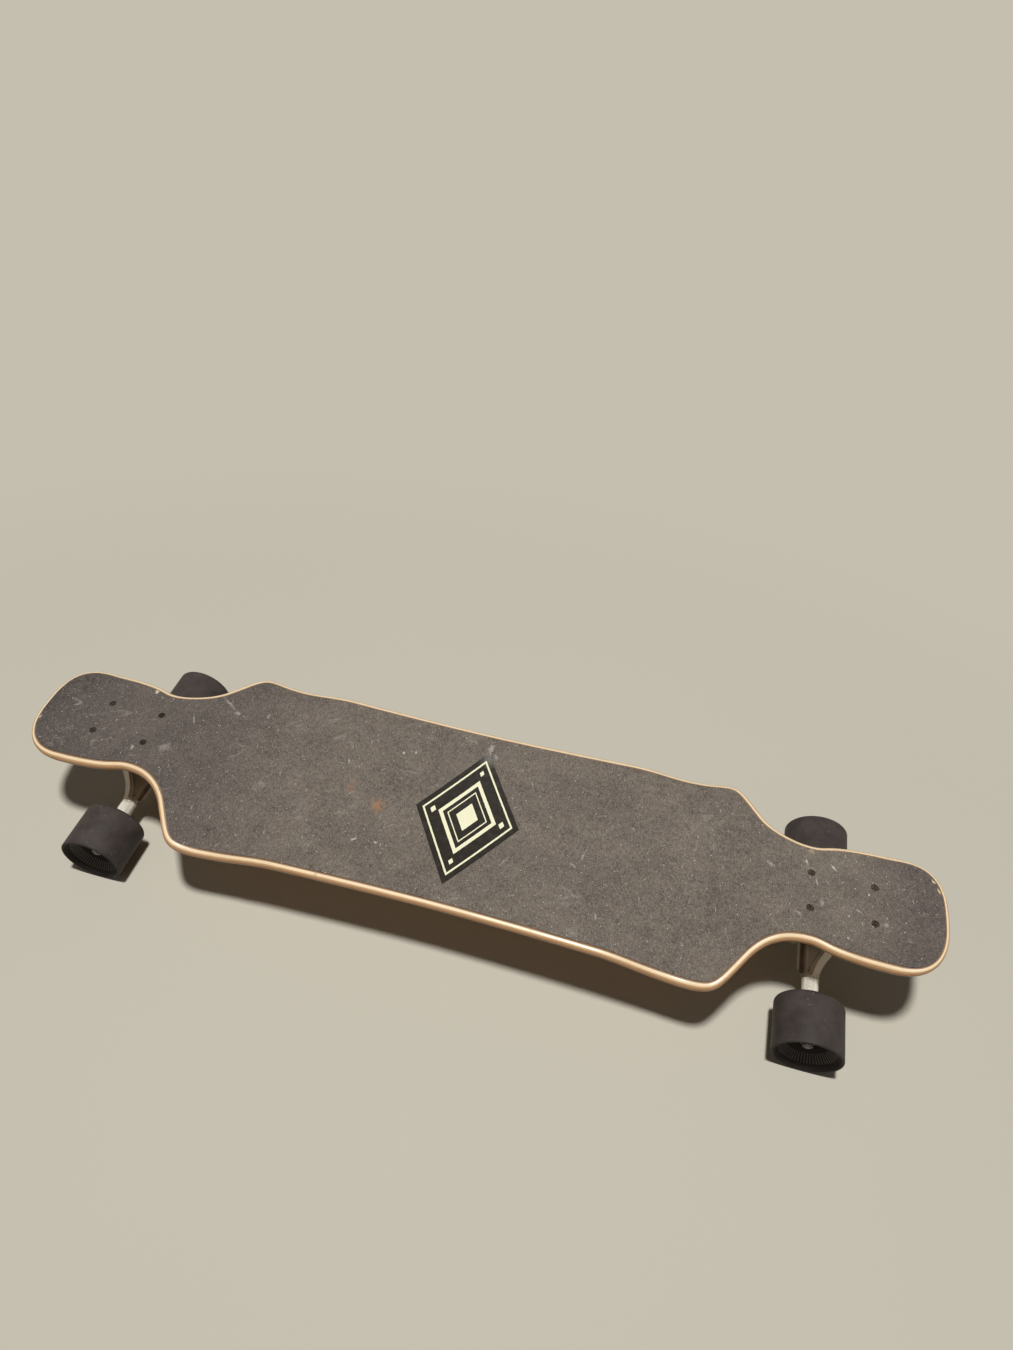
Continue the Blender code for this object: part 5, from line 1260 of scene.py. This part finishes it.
def fused(solids, pockets, cuts):
    """A casting's mesh: overlapping closed forms made one on a lattice of voxels, less its pockets, smoothed
    until its edges and corners are round, and then cut sharply where it is machined."""
    used = []

    def loose(sheets):
        obj = bpy.data.objects.new("form", surface("form", sheets))
        bpy.context.scene.collection.objects.link(obj)
        used.append(obj)
        return obj

    def change(kind, **settings):
        modifier = body.modifiers.new(kind.lower(), kind)
        for name, value in settings.items():
            setattr(modifier, name, value)

    def cut(sheet):
        change("BOOLEAN", operation="DIFFERENCE", solver="MANIFOLD", object=loose([sheet]))

    body = loose(solids)
    change("REMESH", mode="VOXEL", voxel_size=VOXEL)
    for pocket in pockets:
        cut(pocket)
    change("REMESH", mode="VOXEL", voxel_size=VOXEL)
    change("SMOOTH", iterations=ROUNDING_PASSES)
    for sheet in cuts:
        cut(sheet)
    mesh = bpy.data.meshes.new_from_object(body.evaluated_get(bpy.context.evaluated_depsgraph_get()))
    mesh.materials.clear()
    for obj in used:
        form = obj.data
        bpy.data.objects.remove(obj)
        bpy.data.meshes.remove(form)
    return mesh


def points_of(mesh):
    points = np.empty(3 * len(mesh.vertices))
    mesh.vertices.foreach_get("co", points)
    return points.reshape(-1, 3)


def placed(mesh, name, place):
    """A copy of a mesh, moved from its own frame to a place."""
    copy = mesh.copy()
    copy.name = name
    copy.vertices.foreach_set("co", place.points(points_of(copy)).ravel())
    copy.update()
    return bpy.data.objects.new(name, copy)


def yoke_curve(count):
    """The yoke's left edge from the end of the cast body in to the ring: a quadratic Bezier curve."""
    start, end = (HANGER_BOSS_RADIUS, HANGER_BOSS_START), (RING_DISTANCE, YOKE_END_HALF)
    t = np.linspace(0, 1, count)[:, None]
    return (1 - t) ** 2 * start + 2 * (1 - t) * t * YOKE_WAIST + t**2 * end


def yoke_form():
    """The yoke before its pockets: at each distance along it, a flat top and a crowned underside, whose
    height is the crown times the square of the distance from the middle."""
    edge = np.concatenate([[(-YOKE_ROOT, HANGER_BOSS_START - YOKE_ROOT)], yoke_curve(40)])
    edge[:, 1] -= YOKE_TUCK * smooth_step(1 - edge[:, 0] / HANGER_BOSS_RADIUS)
    share = np.linspace(-1, 1, 25)
    x, y = edge[:, :1] + 0 * share, edge[:, 1:] * share
    heights = YOKE_TOP + 0 * y, -YOKE_BOTTOM + YOKE_CROWN * share**2 + 0 * y
    top, below = (np.stack([x, y, height], axis=-1) for height in heights)
    return capped(np.concatenate([top, below[:, ::-1]], axis=1))


def hanger_form():
    """The hanger in the pivot's frame: a turned body round the axle, the pocketed yoke, a spine along the
    body's back, the ring for the bushings and the nose that turns in the pivot cup."""
    across = LOCAL.at((0, 0, -RAKE), (1, 0, 0), (0, 0, 1))
    at_ring = LOCAL.at((RING_DISTANCE, 0, 0))
    back, front, end = -SPINE_BACK, -SPINE_FRONT, HANGER_BOSS_START - YOKE_ROOT
    spine = [(back, SPINE_TAPER - end), (front, -end), (front, end), (back, end - SPINE_TAPER)]
    ring = rounded(band(0, RING_RADIUS, -RING_HEIGHT / 2, RING_HEIGHT / 2), RING_EDGE)
    solids = [
        turned(band(0, HANGER_BODY_RADIUS, -HANGER_BOSS_START, HANGER_BOSS_START), across),
        yoke_form(),
        prism(spine, -YOKE_BOTTOM, SPINE_TOP),
        turned(nose_profile(), LOCAL.against_x()),
        turned(ring, at_ring),
    ]
    inner = [(x - YOKE_FLANGE, y - YOKE_FLANGE / 2) for x, y in yoke_curve(14)[1:-2]]
    pockets = []
    for side in SIDES.values():
        outline = [(front, inner[0][1]), *inner, (inner[-1][0], YOKE_MIDDLE_RIB), (front, YOKE_MIDDLE_RIB)]
        outline = [(x, side * y) for x, y in outline]
        pockets.append(prism(outline, POCKET_FLOOR, SPINE_TOP + CUT_SPARE, growth=POCKET_DRAFT))
    half = [(0, RING_HEIGHT), (RING_SEAT_RADIUS, RING_HEIGHT), (RING_SEAT_RADIUS, RING_FLOOR / 2)]
    half.append((RING_HOLE_RADIUS, RING_FLOOR / 2))
    hole = half + [(radius, -height) for radius, height in half[::-1]]
    bore = band(0, AXLE_RADIUS + FIT, -HANGER_END, HANGER_END)
    mesh = fused(solids, pockets, [turned(hole, at_ring), turned(bore, across, SMALL_STEPS)])
    x, y, z = points_of(mesh).T
    # painted shade in the yoke's pockets, strongest beside the flanges
    soft = HOLLOW_EDGE
    inside_flange = np.interp(x, *np.array(inner).T) + soft - np.abs(y)
    hollow = smooth_step(inside_flange / soft) * smooth_step((x - front - HOLLOW_START) / HOLLOW_RUN)
    hollow = hollow * smooth_step((np.abs(y) - YOKE_MIDDLE_RIB + soft) / soft)
    hollow = hollow * smooth_step((YOKE_TOP - z) / HOLLOW_DEPTH) * (z > 0)
    hollow = hollow * (0.3 + 0.7 * smooth_step(1 - inside_flange / HOLLOW_FADE))
    mesh.attributes.new("hollow", "FLOAT", "POINT").data.foreach_set("value", hollow)
    middles = np.empty(3 * len(mesh.polygons))
    mesh.polygons.foreach_get("center", middles)
    x, y, z = middles.reshape(-1, 3).T
    machined = np.hypot(x - RING_DISTANCE, y) < RING_SEAT_RADIUS + RING_MACHINED_PAST[0]
    machined &= np.abs(z) < RING_HEIGHT / 2 + RING_MACHINED_PAST[1]
    mesh.polygons.foreach_set("material_index", machined.astype(np.int32))
    return mesh


def nose_profile():
    neck, tip = NOSE_RADIUS + NOSE_SHOULDER, NOSE_END - NOSE_TIP
    profile = [(0, NOSE_END), (NOSE_RADIUS - NOSE_TIP, NOSE_END), (NOSE_RADIUS, tip)]
    profile += [(NOSE_RADIUS, NOSE_NECK + NOSE_SHOULDER), (neck, NOSE_NECK), (neck, 0), (0, 0)]
    return rounded(profile, NOSE_EDGE)


def make_hanger(truck, form, cast, machined):
    """The cast hanger, and the bright turned boss at each of its ends."""
    body, node = f"{truck}_truck", f"{truck}_hanger"
    obj = placed(form, f"{node}_casting", pivot_place(truck))
    dress(obj, body, [cast, machined], [node], 35.0)
    profile = band(AXLE_RADIUS + FIT, HANGER_BOSS_RADIUS, HANGER_BOSS_START, HANGER_END)
    outline = ring_of(profile, BOSS_ROUNDING, 3)
    for side in SIDES:
        sheet = turned(outline, wheel_place(f"{truck}_{side}"), TYRE_STEPS, closed=True)
        piece(f"{node}_{side}_boss", body, [machined], [sheet])


def pivot_point(x, z):
    """A point of the pivot's frame as the truck's (x, z)."""
    away = pivot_place("front").points((x, 0, z)) - truck_place("front").origin
    return away[0], away[2]


def rounded_rectangle(length, width, radius):
    """A rectangle's outline with round corners, anticlockwise."""
    outline = []
    for quarter, (x, y) in enumerate(((1, 1), (-1, 1), (-1, -1), (1, -1))):
        angles = (quarter + np.linspace(0, 1, 8)) * math.pi / 2
        middle = np.array((x * (length / 2 - radius), y * (width / 2 - radius)))
        outline.append(middle + radius * np.stack([np.cos(angles), np.sin(angles)], axis=1))
    return np.concatenate(outline)


def baseplate_form():
    """The baseplate in the truck's frame: a plate, a wedge for the kingpin with a recess in each side, an
    arm down to the pivot cup's housing, and the kingpin's seat."""
    length, width, _ = highest("front_baseplate") - lowest("front_baseplate")
    rings = []
    for z, inset in PLATE_LEVELS:
        ring = rounded_rectangle(length - 2 * inset, width - 2 * inset, PLATE_CORNER - inset)
        rings.append(np.insert(ring, 2, z, axis=1))
    sunk, seat_end = -PLATE_THICKNESS / 2, SEAT_Z + SEAT_RISE
    seat_front = pivot_point(RING_DISTANCE + SEAT_RADIUS, seat_end)
    seat_back = pivot_point(RING_DISTANCE - SEAT_RADIUS, seat_end)
    wedge = [(WEDGE_FRONT, sunk), (-WEDGE_BACK, sunk), (-WEDGE_BACK, -WEDGE_BACK_DEPTH)]
    wedge += [seat_back, seat_front]
    arm = [
        (0, sunk),
        (-ARM_BACK, sunk),
        pivot_point(-HOUSING_END + ARM_INSET, ARM_ABOVE_PIVOT),
        pivot_point(-CUP_MOUTH - ARM_INSET, ARM_MOUTH_ABOVE_PIVOT),
        seat_back,
    ]
    truck, pivot = truck_place("front"), pivot_place("front")
    tilt = LOCAL.at(pivot.origin - truck.origin, pivot.axes[0], pivot.axes[1])
    at_ring, inboard = tilt.at((RING_DISTANCE, 0, 0)), tilt.against_x()
    side_on = LOCAL.at((0, 0, 0), (1, 0, 0), (0, 0, 1))
    cup = CUP_RADIUS + FIT
    seat = band(0, SEAT_RADIUS, seat_end + SEAT_RADIUS / 2, SEAT_Z)
    housing = rounded(band(0, cup + CUP_HOUSING_WALL, CUP_MOUTH, HOUSING_END), HOUSING_ROUNDING)
    solids = [capped(rings), turned(seat, at_ring), turned(housing, inboard)]
    for outline, half in ((wedge, WEDGE_HALF), (arm, ARM_HALF)):
        solids += [prism(outline, 0.0, reach, side_on, -RIB_DRAFT) for reach in (half, -half)]
    middle = np.mean(wedge, axis=0)
    recess = middle + (np.array(wedge) - middle) * (1 - WEDGE_RIM / WEDGE_REACH)
    recess = np.roll(recess, -1, axis=0) + RECESS_SHIFT
    deep, past = WEDGE_HALF - WEDGE_RECESS, WEDGE_HALF + CUT_SPARE
    pockets = [prism(recess, side * deep, side * past, side_on, RECESS_DRAFT) for side in (-1, 1)]
    floor, top = SEAT_Z + KINGPIN_GRIP, KINGPIN_CUT
    head, shank = KINGPIN_HEAD_FLATS / math.sqrt(3) + FIT, KINGPIN_RADIUS + FIT
    kingpin = [(0, top), (head, top), (head, floor), (shank, floor), (shank, 0), (0, 0)]
    cuts = [turned(kingpin, at_ring), turned(band(0, cup, 0, HOUSING_END - CUP_HOUSING_WALL), inboard)]
    hole = band(0, BOLT_RADIUS + FIT, *PLATE_CUT)
    for x in PLATE_HOLES:
        for y in (-HOLES_ACROSS / 2, HOLES_ACROSS / 2):
            cuts.append(turned(hole, LOCAL.at((x, y, 0)), SMALL_STEPS))
    return fused(solids, pockets, cuts)


def camera():
    """The camera, with its lens, place and aim as they were fitted to the photo."""
    data = bpy.data.cameras.new("camera")
    data.lens = CAMERA_LENS
    data.sensor_width = CAMERA_FRAME
    obj = bpy.data.objects.new("camera", data)
    bpy.context.scene.collection.objects.link(obj)
    aim = Matrix.Translation(CAMERA_PLACE)
    for angle, axis in ((CAMERA_TURN, "Z"), (90 - CAMERA_DOWN, "X"), (CAMERA_ROLL, "Z")):
        aim = aim @ Matrix.Rotation(math.radians(angle), 4, axis)
    obj.matrix_world = aim
    bpy.context.scene.camera = obj


KEY_PLACE = (0.08, -0.345, 4.5)
FILL_PLACE = (-1.1, -1.9, 1.5)
KEY_SIZE, FILL_SIZE = 0.44, 1.8
KEY_SHARE, FILL_SHARE, WORLD_STRENGTH = 0.94, 0.030, 0.065
FLOOR_COLOUR, WORLD_COLOUR = (0.555, 0.520, 0.430), (1.0, 0.99, 0.97)
FLOOR_REACH = 14.0
FADE_START, FADE_END = 0.50, 1.3
FADE_ACROSS = 1.6


def lamp(name, place, size, share):
    """An area lamp that looks at the board's middle. A share of 1 lights a level surface there so that it
    renders at its own colour."""
    data = bpy.data.lights.new(name, "AREA")
    data.shape = "DISK"
    data.size = size
    distance = math.hypot(*place)
    data.energy = math.pi**2 * distance**2 * share
    obj = bpy.data.objects.new(name, data)
    bpy.context.scene.collection.objects.link(obj)
    away = np.array(place) / distance
    side = np.cross((0, 1, 0), away)
    side /= np.linalg.norm(side)
    axes = np.array([side, np.cross(away, side), away])
    obj.matrix_world = Matrix.Translation(place) @ Matrix(axes.T.tolist()).to_4x4()


def seen_directly(tree):
    """1 for the rays that show the surround: the camera's own, reflected and refracted ones."""
    path = tree.nodes.new("ShaderNodeLightPath")
    share = path.outputs["Is Camera Ray"]
    for kind in ("Is Glossy Ray", "Is Transmission Ray"):
        share = add_node(tree, "Math", {0: share, 1: path.outputs[kind]}, operation="MAXIMUM")
    return share


def mixed_shader(tree, share, first, second):
    return add_node(tree, "MixShader", {0: share, 1: first, 2: second})


def floor_finish():
    """Pale paint that keeps the shadow, and fades into the surround's plain colour away from the board. From
    below it is clear, so that the board's underside can be looked at."""
    f = Finish("floor_paint", roughness=0.85, specular=0.2)
    tree = f.tree
    f.feed("Base Color", f.mix(f.noise(3.0, 3.0), tuple(0.985 * c for c in FLOOR_COLOUR), FLOOR_COLOUR))
    plain, clear = f.add("Emission", {"Color": FLOOR_COLOUR}), f.add("BsdfTransparent", {})
    oval = {0: f.stretched((1.0, 1 / FADE_ACROSS, 1.0))}
    distance = f.add("VectorMath", oval, "Value", operation="LENGTH")
    seen = seen_directly(tree)
    far = f.times(f.between(distance, FADE_START, FADE_END), seen)
    faded = mixed_shader(tree, far, f.shader.outputs[0], plain)
    below = f.times(f.add("NewGeometry", {}, "Backfacing"), seen)
    set_input(tree, tree.nodes["Material Output"], "Surface", mixed_shader(tree, below, faded, clear))
    return f.material


def studio():
    """A pale floor, a soft lamp overhead, a broad one to the front, and a pale surround."""
    lamp("key", KEY_PLACE, KEY_SIZE, KEY_SHARE)
    lamp("fill", FILL_PLACE, FILL_SIZE, FILL_SHARE)
    points = np.array([(-1, -1, 0), (1, -1, 0), (1, 1, 0), (-1, 1, 0)], float) * FLOOR_REACH
    mesh = bpy.data.meshes.new("floor")
    mesh.from_pydata(points, [], [(0, 1, 2, 3)])
    mesh.materials.append(floor_finish())
    floor = bpy.data.objects.new("floor", mesh)
    bpy.context.scene.collection.objects.link(floor)
    world = bpy.data.worlds.new("surround")
    world.use_nodes = True
    tree = world.node_tree
    light = tree.nodes["Background"]
    set_input(tree, light, "Color", WORLD_COLOUR)
    set_input(tree, light, "Strength", WORLD_STRENGTH)
    plain = add_node(tree, "Background", {"Color": FLOOR_COLOUR})
    shown = mixed_shader(tree, seen_directly(tree), light.outputs[0], plain)
    set_input(tree, tree.nodes["World Output"], "Surface", shown)
    bpy.context.scene.world = world
    bpy.context.scene.view_settings.view_transform = "Standard"


camera()
studio()

# name, colour, roughness, mottling and dirt
# the castings carry painted shade in their recesses
sand_cast = {"metallic": 0.8, "bumps": 0.25, "grain": 1500.0, "hollow": True}
# cast aluminium: its warm brown tint is partly a painted reflection of the maple above, and its dark tone
# partly painted shade from the deck
cast = metal_finish("cast_aluminium", (0.36, 0.302, 0.243), 0.42, 0.14, 0.30, **sand_cast)
tooled = {"metallic": 0.4, "bumps": 0.04, "lines": (0.02, 0.0004, 0.02)}
machined = metal_finish("machined_aluminium", (0.98, 0.91, 0.79), 0.29, 0.02, 0.03, **tooled)
plated = metal_finish("plated_steel", (0.62, 0.61, 0.59), 0.30, 0.08, 0.2)
# plated steel for the axles and their nuts, darkened as painted shade for where they sit in the wheels'
# recesses
shade_darkened_plated = metal_finish("dark_plated_steel", (0.20, 0.19, 0.185), 0.36, 0.1, 0.25)
black_steel = metal_finish("black_steel", (0.075, 0.060, 0.046), 0.45, 0.25, 0.45, metallic=0.6)
race_steel = metal_finish("race_steel", (0.50, 0.49, 0.48), 0.26, 0.06, 0.15)
shield_steel = metal_finish("shield_steel", (0.13, 0.125, 0.12), 0.38, 0.1, 0.25)
nylon = rubber_finish("hub_nylon", (0.022, 0.0205, 0.020))
insert = rubber_finish("nut_insert", (0.30, 0.29, 0.27))
bushing_rubber = rubber_finish("bushing_urethane", (0.050, 0.048, 0.052))
cup_rubber = rubber_finish("pivot_cup_urethane", (0.035, 0.034, 0.034))
urethane = urethane_finish()

deck_plan = Deck()
make_deck(deck_plan, maple_finish())
make_grip(deck_plan, grip_finish())
make_label(print_ground_finish(), print_ink_finish())

hanger, baseplate = hanger_form(), baseplate_form()
for truck in TRUCKS:
    make_hanger(truck, hanger, cast, machined)
    plate = placed(baseplate, f"{truck}_baseplate_casting", truck_place(truck))
    dress(plate, "board", [cast], [f"{truck}_baseplate"], 35.0)
    make_pivot_cup(truck, cup_rubber)
    make_axle(truck, shade_darkened_plated)
    make_kingpin_set(truck, plated, insert)
    for side in ("board", "road"):
        make_bushing(truck, side, bushing_rubber)
    for end in ("inboard", "outboard"):
        for side in SIDES:
            make_bolt(f"{truck}_{end}_{side}", black_steel, plated, insert)
    for wheel in (f"{truck}_{side}" for side in SIDES):
        make_tyre(wheel, urethane)
        make_core(wheel, nylon)
        for which in ("inner", "outer"):
            make_bearing(wheel, which, race_steel, shield_steel)
        make_axle_end(wheel, shade_darkened_plated, insert, plated)
